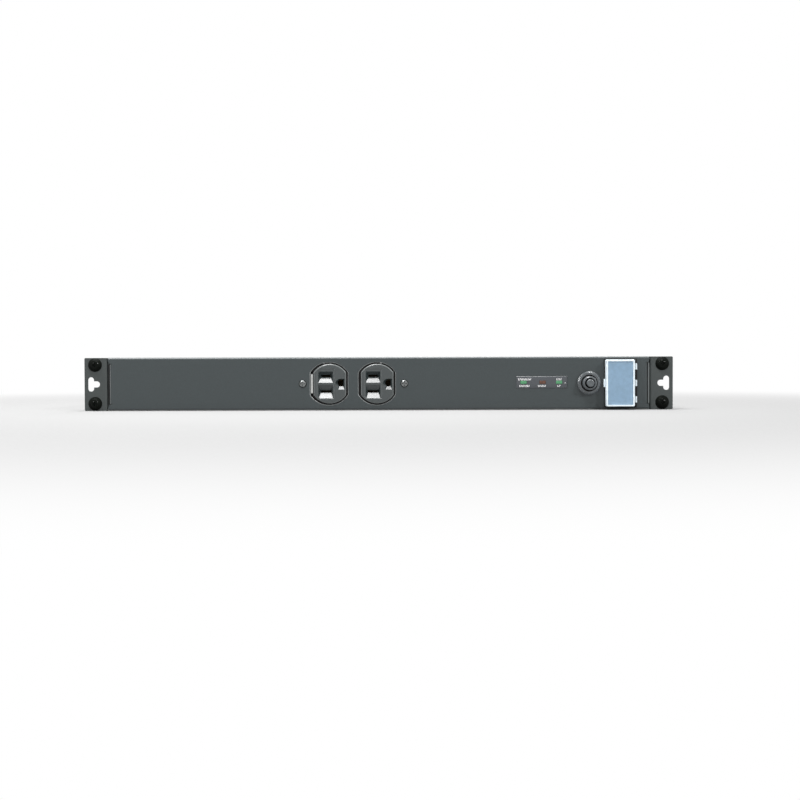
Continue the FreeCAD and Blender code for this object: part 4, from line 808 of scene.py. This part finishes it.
def screw(bm, size, seat, outward):
    """A screw with a cross in its head: domed where it rises, flush and countersunk where it doesn't."""
    place = facing(seat, outward)
    ring = size.arm * CROSS_RIM
    if size.rise:
        profile = dome(size, ring) + [(size.shank, 0.0)]
    else:
        profile = [(ring, 0.0), (size.head, 0.0), (size.shank, size.shank - size.head)]
    lathe(bm, profile + [(size.shank, -size.length), (0.0, -size.length)], place, HOLE_SIDES)
    # Painted shade on the outer ring of a domed head, past its bright share
    for face in bm.faces:
        out, height = off_axis(face, place)
        if size.rise and height > 0 and size.bright * size.head < out < size.head:
            face.material_index = SECOND
    top = place @ Matrix.Translation((0, 0, profile[0][1]))
    thin = size.arm * CROSS_WIDTH
    corners = mirrored([(size.arm, thin), (thin, thin), (thin, size.arm)])
    cross = bm.faces.new([bm.verts.new(top @ Vector((x, y, 0))) for x, y in corners])
    pierce(bm, disc(bm, ring, top, HOLE_SIDES), [cross])
    push(bm, cross, -size.arm * CROSS_DEPTH * outward, (CROSS_FOOT,) * 3)


def screws(name, size, seats, slot, nodes):
    bm = bmesh.new()
    for seat, outward in seats:
        screw(bm, size, Vector(seat), Vector(outward))
    piece(name, bm, slot, nodes, finish=[FINISHES[slot], SCREW_SHADE], crease=SCREW_CREASE)


def all_screws():
    sides = (-1, 1)
    seats = [((x * RACK_X, EAR_LOW.y, z * RACK_Z), FRONT) for x in sides for z in sides]
    screws("rack_screw_set", RACK_SCREW, seats, "black_steel", ["rack_screws"])
    seats = [((OUTLET_X + x * SCREW_X, FRONT_Y, 0), FRONT) for x in sides]
    screws("front_outlet_screw_set", OUTLET_SCREW, seats, "bright_steel", ["front_outlet_screws"])
    seats = [((row + x * SCREW_X, REAR_Y, 0), REAR) for row in REAR_OUTLET_XS for x in sides]
    screws("rear_outlet_screw_set", OUTLET_SCREW, seats, "bright_steel", ["rear_outlet_screws"])
    seats = [((x, CASE_SCREW_Y, HALF_HEIGHT), UP) for x in CASE_SCREW_XS]
    seats += [((x * HALF_WIDTH, CASE_SCREW_Y, 0), (x, 0, 0)) for x in sides]
    screws("case_screw_set", CASE_SCREW, seats, "black_steel", ["case_screws"])
    x_out = EAR_LOW.x + EAR_SHEET
    seats = [((x * x_out, EAR_SCREW_Y, z * EAR_SCREW_Z), (x, 0, 0)) for x in sides for z in sides]
    screws("ear_screw_set", EAR_SCREW, seats, "black_steel", ["ear_screws"])


# Receptacles

def blade_funnel(bm, x, y, funnel):
    """Mouth of a blade slot on the pocket's floor: a rectangle kept within the pocket's round wall."""
    corner = POCKET_RADIUS - POCKET_SLOPE - PLAY
    sides = (SLOT_X - FUNNEL_HALF, SLOT_X + FUNNEL_HALF)
    return clipped_disc(bm, corner, x, y, *sides, funnel.low, funnel.high)


def blade_slot(bm, mouth, funnel):
    """Narrows a mouth to its slot and runs it through to the back."""
    narrow = (funnel.slot_half / FUNNEL_HALF, 1, 2 * SLOT_HALF / (funnel.high - funnel.low))
    shift = funnel.slot_z - (funnel.low + funnel.high) / 2
    throat = push(bm, mouth, (0, FUNNEL_DEPTH, shift), narrow)
    return push(bm, throat, (0, PLATE_BACK - throat.calc_center_bounds().y, 0))


def ground_mouth(bm, x, y):
    """The D of a ground hole, round toward the slots, with a deeper slope at its foot."""
    face = disc(bm, GROUND_RADIUS, facing((x + GROUND_X, y, 0), FRONT), segments=48)
    face = trim(bm, face, (x + GROUND_X, 0, 0), (1, 0, 0))
    chord = max(face.edges, key=lambda e: e.calc_length())
    made = bmesh.ops.extrude_edge_only(bm, edges=[chord])["geom"]
    bmesh.ops.translate(bm, vec=(GROUND_FLAT, 0, 0), verts=verts_in(made))
    face = bmesh.ops.dissolve_faces(bm, faces=[face, *faces_in(made)])["region"][0]
    for corner in face.verts:
        if corner.co.z < -GROUND_SILL:
            corner.co.z = -GROUND_FOOT
    return face


def outlet_face(bm, x):
    """One receptacle face; gives its root on the plate and the ends of its openings."""
    front = -FACE_STAND
    root = clipped_disc(bm, FACE_RADIUS, x, PLATE_Y, -FACE_HALF, FACE_HALF, -FACE_RADIUS, FACE_RADIUS)
    shoulder = push(bm, root, (0, front + FACE_SLOPE - PLATE_Y, 0), keep=True)
    top = push(bm, shoulder, (0, -FACE_SLOPE, 0), narrowed(FACE_EDGE, FACE_HALF, FACE_RADIUS))
    slope = walls(top)
    pocket = clipped_disc(bm, POCKET_RADIUS, x, front, *POCKET_SPAN)
    ground = ground_mouth(bm, x, front)
    pierce(bm, top, [pocket, ground])
    sink(bm, pocket, POCKET_SLOPE, POCKET_DEPTH)
    # Painted highlight on the face's slope and on the pocket's walls
    paint(walls(pocket) | slope, THIRD)
    mouths = [blade_funnel(bm, x, front + POCKET_DEPTH, funnel) for funnel in FUNNELS]
    pierce(bm, pocket, mouths)
    ends = [blade_slot(bm, mouth, funnel) for mouth, funnel in zip(mouths, FUNNELS)]
    inward = (GROUND_SHIFT, GROUND_DEPTH, GROUND_LIFT)
    throat = push(bm, ground, inward, (GROUND_TAPER, 1, GROUND_TAPER))
    ends.append(push(bm, throat, (0, PLATE_BACK - front - GROUND_DEPTH, 0)))
    return root, ends


def outlet_moulding(name, node, place, right_end):
    """Two receptacle faces on one plate."""
    bm = bmesh.new()
    rear = rectangle(bm, -PLATE_HALF_X, right_end, -PLATE_HALF_Z, PLATE_HALF_Z, PLATE_BACK)
    ahead = push(bm, rear, (0, PLATE_Y - PLATE_BACK, 0), keep=True)
    # Painted shade on the plate's front, seen round the faces through the panel's openings
    ahead.material_index = SECOND
    roots, ends = [], []
    for x in FACE_XS:
        root, openings = outlet_face(bm, x)
        roots.append(root)
        ends += openings
    cut_out(bm, ahead, roots)
    cut_out(bm, rear, ends)
    bmesh.ops.transform(bm, matrix=place, verts=bm.verts)
    finish = [FINISHES["outlet_plastic"], PAINTED_SHADE, OUTLET_HIGHLIGHT]
    piece(name, bm, "outlet_plastic", [node], finish=finish, crease=FINE_CREASE)


def receptacles():
    place = Matrix.Translation((OUTLET_X, FRONT_Y, 0))
    outlet_moulding("front_receptacle", "front_outlet_face", place, FRONT_PLATE_END)
    about = Matrix.Rotation(math.pi, 4, "Z")
    for number, x in enumerate(REAR_OUTLET_XS, 1):
        name, node = "rear_receptacle_%d" % number, "rear_outlet_face_%d" % number
        outlet_moulding(name, node, Matrix.Translation((x, REAR_Y, 0)) @ about, PLATE_HALF_X)


# Breaker

def breaker_ring():
    """Ring nut with a serrated edge."""
    bm = bmesh.new()
    ring = disc(bm, NUT_RADIUS, facing((BREAKER_X, FRONT_Y, 0), FRONT), 2 * NUT_TEETH)
    inward = 1 - NUT_GROOVE / NUT_RADIUS
    axis = Matrix.Translation((-BREAKER_X, 0, 0))
    bmesh.ops.scale(bm, vec=(inward, 1, inward), verts=list(ring.verts)[::2], space=axis)
    side = push(bm, ring, (0, NUT_FRONT + NUT_LIP - FRONT_Y, 0), keep=True)
    front = push(bm, side, (0, -NUT_LIP, 0), (NUT_LIP_SHARE, 1, NUT_LIP_SHARE))
    step = disc(bm, NUT_STEP, facing((BREAKER_X, NUT_FRONT, 0), FRONT))
    pierce(bm, front, [step])
    floor_y = NUT_FRONT + NUT_STEP_DEPTH
    well = push(bm, step, (0, NUT_STEP_DEPTH, 0), (NUT_STEP_SHARE, 1, NUT_STEP_SHARE))
    # Painted shade in the nut's step
    paint([well, *walls(well)], SECOND)
    bore = disc(bm, NUT_BORE, facing((BREAKER_X, floor_y, 0), FRONT))
    pierce(bm, well, [bore])
    cut_out(bm, ring, [push(bm, bore, (0, FRONT_Y - floor_y, 0))])
    finish = [BREAKER_PLASTIC, PAINTED_SHADE]
    piece("breaker_ring", bm, "black_plastic", ["breaker_nut"], finish=finish, crease=FINE_CREASE)


def neck_profile(length):
    """Radius, height points of the threaded neck, up its outside and down its bore."""
    profile = [(NECK_RADIUS, 0.0)]
    for turn in range(int((length - THREAD_END) / THREAD_PITCH)):
        profile.append((NECK_RADIUS - THREAD_DEPTH, (turn + THREAD_ROOT) * THREAD_PITCH))
        profile.append((NECK_RADIUS, (turn + THREAD_CREST) * THREAD_PITCH))
    edge, mouth_floor = length - NECK_EDGE, length - NECK_MOUTH_DEPTH
    return profile + [
        (NECK_RADIUS, edge),
        (NECK_RADIUS - NECK_LEDGE, edge - NECK_LEDGE_DROP),
        (NECK_RADIUS - NECK_CHAMFER, length),
        (NECK_MOUTH + NECK_MOUTH_EDGE, length),
        (NECK_MOUTH, length - NECK_MOUTH_EDGE),
        (NECK_MOUTH, mouth_floor),
        (BUTTON_HOLE, mouth_floor),
        (BUTTON_HOLE, 0.0),
    ]


def breaker_neck():
    """Breaker case behind the panel and its threaded neck."""
    bm = bmesh.new()
    low, high = extent("breaker_body")
    block(bm, low.x, high.x, INSIDE_Y, high.y, low.z, high.z)
    soften(bm, HOUSING_EDGE, segments=3)
    place = facing((BREAKER_X, INSIDE_Y, 0), FRONT)
    lathe(bm, neck_profile(INSIDE_Y - NECK_FRONT), place, steps=56)
    # Painted shade in the neck's mouth round the button
    paint([f for f in bm.faces if off_axis(f, place)[0] < NECK_MOUTH], SECOND)
    finish = [BREAKER_PLASTIC, PAINTED_SHADE]
    piece("breaker_neck", bm, "black_plastic", ["breaker_body"], finish=finish)


def breaker_plunger():
    """Reset button with a rounded edge and a slight dish."""
    bm = bmesh.new()
    length = BUTTON_BACK - BUTTON_FRONT
    corner, shoulder = BUTTON_RADIUS - BUTTON_EDGE, length - BUTTON_EDGE
    profile = [(0.0, 0.0), (BUTTON_RADIUS, 0.0)]
    for step in range(BUTTON_EDGE_STEPS + 1):
        turn = QUARTER * step / BUTTON_EDGE_STEPS
        profile.append((corner + BUTTON_EDGE * math.cos(turn), shoulder + BUTTON_EDGE * math.sin(turn)))
    profile += [(corner * DISH_SHARE, length - DISH_RIM), (0.0, length - DISH_DEPTH)]
    lathe(bm, profile, facing((BREAKER_X, BUTTON_BACK, 0), FRONT))
    finish = [BREAKER_PLASTIC]
    piece("breaker_plunger", bm, "black_plastic", ["breaker_button"], "button", finish)


# Switch and cover

def knuckle(bm, z, half):
    bmesh.ops.create_cone(
        bm,
        cap_ends=True,
        segments=24,
        radius1=KNUCKLE_RADIUS,
        radius2=KNUCKLE_RADIUS,
        depth=2 * half,
        matrix=Matrix.Translation((HINGE_X, HINGE_Y, z)),
    )


def lid_pane(bm, front):
    """Sinks the pane into the lid's front, with a stepped bead round it."""
    wide, high = COVER_HALF_X - COVER_RIM, COVER_HALF_Z - COVER_RIM
    pane = rounded_rectangle(bm, SWITCH_X, wide, high, COVER_FRONT, COVER_CORNER / 2)
    pierce(bm, front, [pane])
    step = push(bm, pane, (0, COVER_RECESS - COVER_DIP, 0))
    bead = push(bm, step, (0, COVER_DIP, 0), narrowed(COVER_STEP, wide, high))
    paint(walls(bead), SECOND)
    pane = push(bm, bead, (0, 0, 0), narrowed(COVER_BEAD, wide, high))
    paint(walls(pane), THIRD)
    pane.material_index = SECOND


def lid_latch(bm):
    """Tab at the lid's free edge."""
    left = SWITCH_X - COVER_HALF_X
    across, deep = (left - LATCH_REACH, left + COVER_WALL), (COVER_BACK - LATCH_THICK, COVER_BACK)
    tab = set(block(bm, *across, *deep, -LATCH_HALF, LATCH_HALF))
    soften(bm, LATCH_EDGE, segments=3, edges=[e for e in bm.edges if tab.issuperset(e.verts)])


def switch_lid():
    """Cloudy lid: a shallow box with a raised rim round its pane, a latch tab and three knuckles."""
    bm = bmesh.new()
    root = rounded_rectangle(bm, SWITCH_X, COVER_HALF_X, COVER_HALF_Z, COVER_BACK, COVER_CORNER)
    front = push(bm, root, (0, COVER_FRONT - COVER_BACK, 0), keep=True)
    soften(bm, COVER_CORNER / 2, segments=3, edges=list(front.edges))
    lid_pane(bm, level_face(bm, COVER_FRONT, SWITCH_X))
    wide, high = COVER_HALF_X - COVER_WALL, COVER_HALF_Z - COVER_WALL
    hollow = rounded_rectangle(bm, SWITCH_X, wide, high, COVER_BACK, COVER_CORNER / 2)
    pierce(bm, root, [hollow])
    ceiling = push(bm, hollow, (0, COVER_FRONT + COVER_RECESS + COVER_WALL - COVER_BACK, 0))
    ceiling.material_index = SECOND
    lid_latch(bm)
    inner_x, top = SWITCH_X + wide, HINGE_Y - KNUCKLE_RADIUS
    for z in (-KNUCKLE_PITCH, 0, KNUCKLE_PITCH):
        knuckle(bm, z, KNUCKLE_HALF)
        block(bm, inner_x, HINGE_X, top, HINGE_Y, z - KNUCKLE_HALF, z + KNUCKLE_HALF)
    finish = [FINISHES["frosted_plastic"], PANE, PANE_STEP]
    piece("switch_lid", bm, "frosted_plastic", ["switch_cover"], "cover", finish)


def lid_seat():
    """Frame under the lid, with two hinge knuckles: black plastic, darkened further as painted shade."""
    bm = bmesh.new()
    left, right = SWITCH_X - COVER_HALF_X - BASE_MARGIN, HINGE_X + KNUCKLE_RADIUS
    high = COVER_HALF_Z + BASE_MARGIN
    block(bm, left, right, SEAT_Y, FRONT_Y, -high, high)
    soften(bm, SEAT_EDGE, segments=3)
    half = (KNUCKLE_PITCH - 2 * KNUCKLE_HALF) / 2 - KNUCKLE_GAP
    for z in (-KNUCKLE_PITCH / 2, KNUCKLE_PITCH / 2):
        knuckle(bm, z, half)
        block(bm, HINGE_X - KNUCKLE_RADIUS, right, HINGE_Y, SEAT_Y, z - half, z + half)
    piece("lid_seat", bm, "black_plastic", ["cover_base"], finish=[PAINTED_SHADE])


def switch_housing():
    """Bezel with a well for the rocker, and the housing behind it."""
    bm = bmesh.new()
    face = centred_rectangle(bm, SWITCH_X, 0, BEZEL_HALF_X, BEZEL_HALF_Z, BEZEL_Y)
    back = push(bm, face, (0, SEAT_Y - BEZEL_Y, 0), keep=True)
    well = centred_rectangle(bm, SWITCH_X, 0, WELL_HALF_X, WELL_HALF_Z, BEZEL_Y)
    pierce(bm, face, [well])
    push(bm, well, (0, WELL_DEPTH, 0))
    neck = (SWITCH_HALF_X / BEZEL_HALF_X, 1, SWITCH_HALF_Z / BEZEL_HALF_Z)
    housing = push(bm, back, (0, 0, 0), neck)
    push(bm, housing, (0, SWITCH_BACK - SEAT_Y, 0))
    bmesh.ops.recalc_face_normals(bm, faces=bm.faces)
    soften(bm, BEZEL_EDGE, segments=3)
    piece("switch_housing", bm, "black_plastic", ["switch_body"])


def tilt_rocker(bm):
    """Sets what is drawn about the pivot at the rocker's own place and tilt."""
    turn = Matrix.Rotation(-ROCKER_TILT, 4, "X")
    place = Matrix.Translation((SWITCH_X, ROCKER_PIVOT_Y, 0)) @ turn
    bmesh.ops.transform(bm, matrix=place, verts=bm.verts)


def rocker_paddle():
    """Dished rocker with its upper end in."""
    bm = bmesh.new()
    side = [(ROCKER_TOP, ROCKER_HALF_Z), (0.0, ROCKER_HALF_Z), (ROCKER_KEEL, ROCKER_KEEL_Z)]
    points = [(y, -z) for y, z in side] + list(reversed(side)) + [(ROCKER_TOP + ROCKER_DIP, 0.0)]
    face = bm.faces.new([bm.verts.new((-ROCKER_HALF_X, y, z)) for y, z in points])
    push(bm, face, (2 * ROCKER_HALF_X, 0, 0), keep=True)
    bmesh.ops.recalc_face_normals(bm, faces=bm.faces)
    soften(bm, ROCKER_EDGE, segments=3, least=25)
    tilt_rocker(bm)
    piece("rocker_paddle", bm, "black_plastic", ["switch_rocker"], "rocker")


def rocker_marks():
    """A bar on the upper half of the rocker and a ring on the lower one."""
    bm = bmesh.new()
    y = ROCKER_TOP + ROCKER_DIP * (1 - ROCKER_MARK_Z / ROCKER_HALF_Z)
    half, stroke = ROCKER_MARK / 2, ROCKER_STROKE / 2
    bar = (ROCKER_MARK_Z - half, ROCKER_MARK_Z + half)
    block(bm, -stroke, stroke, y - PRINT_RISE, y + PRINT_ROOT, *bar)
    outer = [(half, -PRINT_ROOT), (half, PRINT_RISE)]
    inner = [(radius - ROCKER_STROKE, height) for radius, height in reversed(outer)]
    lathe(bm, outer + inner + outer[:1], facing((0, y, -ROCKER_MARK_Z), FRONT), steps=32)
    tilt_rocker(bm)
    piece("rocker_marks", bm, "black_plastic", body="rocker", finish=[PRINT])


# Indicator window

def window_plate():
    """Legend plate with a bevelled edge and three windows for its lamps."""
    bm = bmesh.new()
    low, high = extent("indicator_window")
    root = centred_rectangle(bm, WINDOW_X, WINDOW_Z, WINDOW_HALF_X, WINDOW_HALF_Z, INSIDE_Y)
    shoulder = push(bm, root, (0, WINDOW_FRONT + WINDOW_EDGE - INSIDE_Y, 0), keep=True)
    narrow = narrowed(WINDOW_SLOPE, WINDOW_HALF_X, WINDOW_HALF_Z)
    front = push(bm, shoulder, (0, -WINDOW_EDGE, 0), narrow)
    half = (LED_HALF_X + PLAY, LED_HALF_Z + PLAY)
    holes = [centred_rectangle(bm, x, WINDOW_Z, *half, WINDOW_FRONT) for x, _ in LEDS.values()]
    pierce(bm, front, holes)
    for hole in holes:
        push(bm, hole, (0, INSIDE_Y - WINDOW_FRONT, 0))
    block(bm, low.x, high.x, INSIDE_Y, INSIDE_Y + WINDOW_FLANGE, low.z, high.z)
    piece("window_plate", bm, "window_plastic", ["indicator_window"])


def lamp(node, slot):
    """Rectangular lamp lens with a softly rounded front."""
    bm = bmesh.new()
    low, high = extent(node)
    block(bm, low.x, high.x, low.y, high.y, low.z, high.z)
    front = [e for e in bm.edges if all(abs(v.co.y - low.y) < FINE for v in e.verts)]
    soften(bm, LED_STAND, segments=3, edges=front)
    piece(node.replace("_led", "_lamp"), bm, slot, [node])


def legend_marks():
    """Rows of plain white strokes above and below the lamps, and a dot beside them."""
    bm = bmesh.new()
    deep = (WINDOW_FRONT - PRINT_RISE, WINDOW_FRONT + PRINT_ROOT)
    half = MARK_HEIGHT / 2
    for x, z, width, count in MARK_ROWS:
        pitch = width / count
        for number in range(count):
            left = x - width / 2 + pitch * number
            tip = left + pitch * MARK_SHARE
            bar = z + half - MARK_STROKE if number % 2 else z - half
            block(bm, left, left + MARK_STROKE, *deep, z - half, z + half)
            block(bm, left + MARK_STROKE, tip, *deep, bar, bar + MARK_STROKE)
    block(bm, *MARK_DOT_X, *deep, *MARK_DOT_Z)
    piece("legend_marks", bm, "window_plastic", finish=[PRINT])


def indicator():
    window_plate()
    for node, (_, slot) in LEDS.items():
        lamp(node, slot)
    legend_marks()


# Cord gland

def gland_profile():
    """Radius, height points of the gland: up its cap, down its bore and along its thread."""
    end, groove = GLAND_HEX_LENGTH + GLAND_CAP_LENGTH, GLAND_THREAD - GLAND_GROOVE
    profile = [(GLAND_THREAD, GLAND_HEX_LENGTH)]
    profile += [(GLAND_THREAD - inward, end - back) for inward, back in CAP_ROUNDING]
    profile += [(GLAND_BORE + GLAND_MOUTH, end), (GLAND_BORE, end - GLAND_MOUTH)]
    profile += [(GLAND_BORE, -GLAND_TAIL), (groove, -GLAND_TAIL)]
    for turn in range(int((GLAND_TAIL - 2 * GLAND_LEAD) / GLAND_PITCH)):
        height = GLAND_LEAD - GLAND_TAIL + GLAND_PITCH * turn
        profile += [(GLAND_THREAD, height), (groove, height + GLAND_PITCH / 2)]
    return profile + [(GLAND_THREAD, -GLAND_LEAD), (GLAND_THREAD, 0.0)]


def gland():
    """Hexagon with chamfered corners, a rounded cap and a threaded tail, all round the cord's bore."""
    bm = bmesh.new()
    place = facing((GLAND_X, REAR_Y, 0), REAR)
    across = GLAND_HEX / math.cos(math.pi / 6)
    hexagon = disc(bm, across, place @ Matrix.Rotation(QUARTER, 4, "Z"), segments=6)
    side = push(bm, hexagon, (0, GLAND_HEX_LENGTH - GLAND_CHAMFER, 0), keep=True)
    front = push(bm, side, (0, GLAND_CHAMFER, 0), (GLAND_CHAMFER_SHARE, 1, GLAND_CHAMFER_SHARE))
    ahead = facing((GLAND_X, REAR_Y + GLAND_HEX_LENGTH, 0), REAR)
    cut_out(bm, front, [disc(bm, GLAND_THREAD, ahead, segments=48)])
    cut_out(bm, hexagon, [disc(bm, GLAND_THREAD, place, segments=48)])
    lathe(bm, gland_profile(), place)
    piece("gland_body", bm, "black_plastic", ["cord_gland"])


# Stage

FLOOR_RADIUS = 6.0
FLOOR_COLOUR = 0.3
FLOOR_FADE = (0.3, 0.9)
SOFTBOXES = (  # name, place, size and radiance
    ("front_strip", (-0.25, -0.39, 1.06), (1.3, 0.26), 14.6),
    ("overhead_panel", (-0.1, 0.22, 1.1), (1.1, 0.78), 8.5),
    ("right_lamp", (2.4, -2.64, 1.8), (0.42, 0.42), 125.0),
    ("left_lamp", (-0.9, -1.0, 0.8), (0.16, 0.16), 30.0),
    ("rear_panel", (0.3, 1.3, 0.7), (0.9, 0.4), 6.0),
)
FILL_LIGHT = 0.30
VIEW_POINT = Vector((0.01745, FRONT_Y * MM, -0.0135))
VIEW_DISTANCE, VIEW_HEIGHT, VIEW_ROLL = 1.2, math.radians(1.5), math.radians(-0.17)
VIEW_WIDTH = 0.6560


def seen_directly(tree):
    """One where a ray comes from the camera, a mirror or a see-through piece."""
    path = tree.nodes.new("ShaderNodeLightPath")
    total = path.outputs["Is Camera Ray"]
    for name in ("Is Glossy Ray", "Is Transmission Ray"):
        both = fed_node(tree, "ShaderNodeMath", total, path.outputs[name])
        both.operation = "MAXIMUM"
        total = both.outputs["Value"]
    return total


def floor_finish():
    """Pale floor that fades to white away from the object."""
    material, tree, surface = shader("pale_floor", (FLOOR_COLOUR,) * 3, roughness=0.8, specular=0.0)
    where = tree.nodes.new("ShaderNodeTexCoord")
    distance = fed_node(tree, "ShaderNodeVectorMath", where.outputs["Object"])
    distance.operation = "LENGTH"
    fade = fed_node(tree, "ShaderNodeMapRange", distance.outputs["Value"])
    fade.interpolation_type = "SMOOTHSTEP"
    fade.inputs["From Min"].default_value, fade.inputs["From Max"].default_value = FLOOR_FADE
    share = fed_node(tree, "ShaderNodeMath", fade.outputs["Result"], seen_directly(tree))
    share.operation = "MULTIPLY"
    white = tree.nodes.new("ShaderNodeEmission")
    sources = (share.outputs["Value"], surface.outputs["BSDF"], white.outputs["Emission"])
    mixed = fed_node(tree, "ShaderNodeMixShader", *sources)
    tree.links.new(mixed.outputs["Shader"], tree.nodes["Material Output"].inputs["Surface"])
    return material


def floor():
    bm = bmesh.new()
    disc(bm, FLOOR_RADIUS, Matrix.Translation((0, 0, -HALF_HEIGHT * MM)), segments=96)
    obj = mesh_object("floor", bm, [floor_finish()])


def softbox(name, place, size, radiance):
    light = bpy.data.lights.new(name, "AREA")
    light.shape = "RECTANGLE"
    light.size, light.size_y = size
    light.energy = math.pi * size[0] * size[1] * radiance
    obj = add_object(name, light)
    obj.location = place
    obj.rotation_euler = (-Vector(place)).to_track_quat("-Z", "Y").to_euler()


def room():
    """Even light all round, white where it is seen."""
    world = bpy.data.worlds.new("room")
    bpy.context.scene.world = world
    world.use_nodes = True
    tree = world.node_tree
    plain = tree.nodes["Background"]
    plain.inputs["Color"].default_value = (1, 1, 1, 1)
    plain.inputs["Strength"].default_value = FILL_LIGHT
    white = tree.nodes.new("ShaderNodeBackground")
    white.inputs["Color"].default_value = (1, 1, 1, 1)
    sources = (seen_directly(tree), plain.outputs["Background"], white.outputs["Background"])
    mixed = fed_node(tree, "ShaderNodeMixShader", *sources)
    tree.links.new(mixed.outputs["Shader"], tree.nodes["World Output"].inputs["Surface"])


def camera():
    data = bpy.data.cameras.new("camera")
    data.sensor_width = 36
    data.lens = data.sensor_width * VIEW_DISTANCE / VIEW_WIDTH
    obj = add_object("camera", data)
    back = Vector((0, -math.cos(VIEW_HEIGHT), math.sin(VIEW_HEIGHT)))
    turn = back.to_track_quat("Z", "Y").to_matrix().to_4x4() @ Matrix.Rotation(VIEW_ROLL, 4, "Z")
    obj.matrix_world = Matrix.Translation(VIEW_POINT + back * VIEW_DISTANCE) @ turn
    bpy.context.scene.camera = obj


def stage():
    bpy.context.scene.view_settings.view_transform = "Standard"
    floor()
    for box in SOFTBOXES:
        softbox(*box)
    room()
    camera()


dress_part()
case_front()
case_rear()
case_sides()
rack_ear("right_bracket", "right_rack_ear", 1)
rack_ear("left_bracket", "left_rack_ear", -1)
all_screws()
receptacles()
breaker_ring()
breaker_neck()
breaker_plunger()
switch_lid()
lid_seat()
switch_housing()
rocker_paddle()
rocker_marks()
indicator()
gland()
stage()
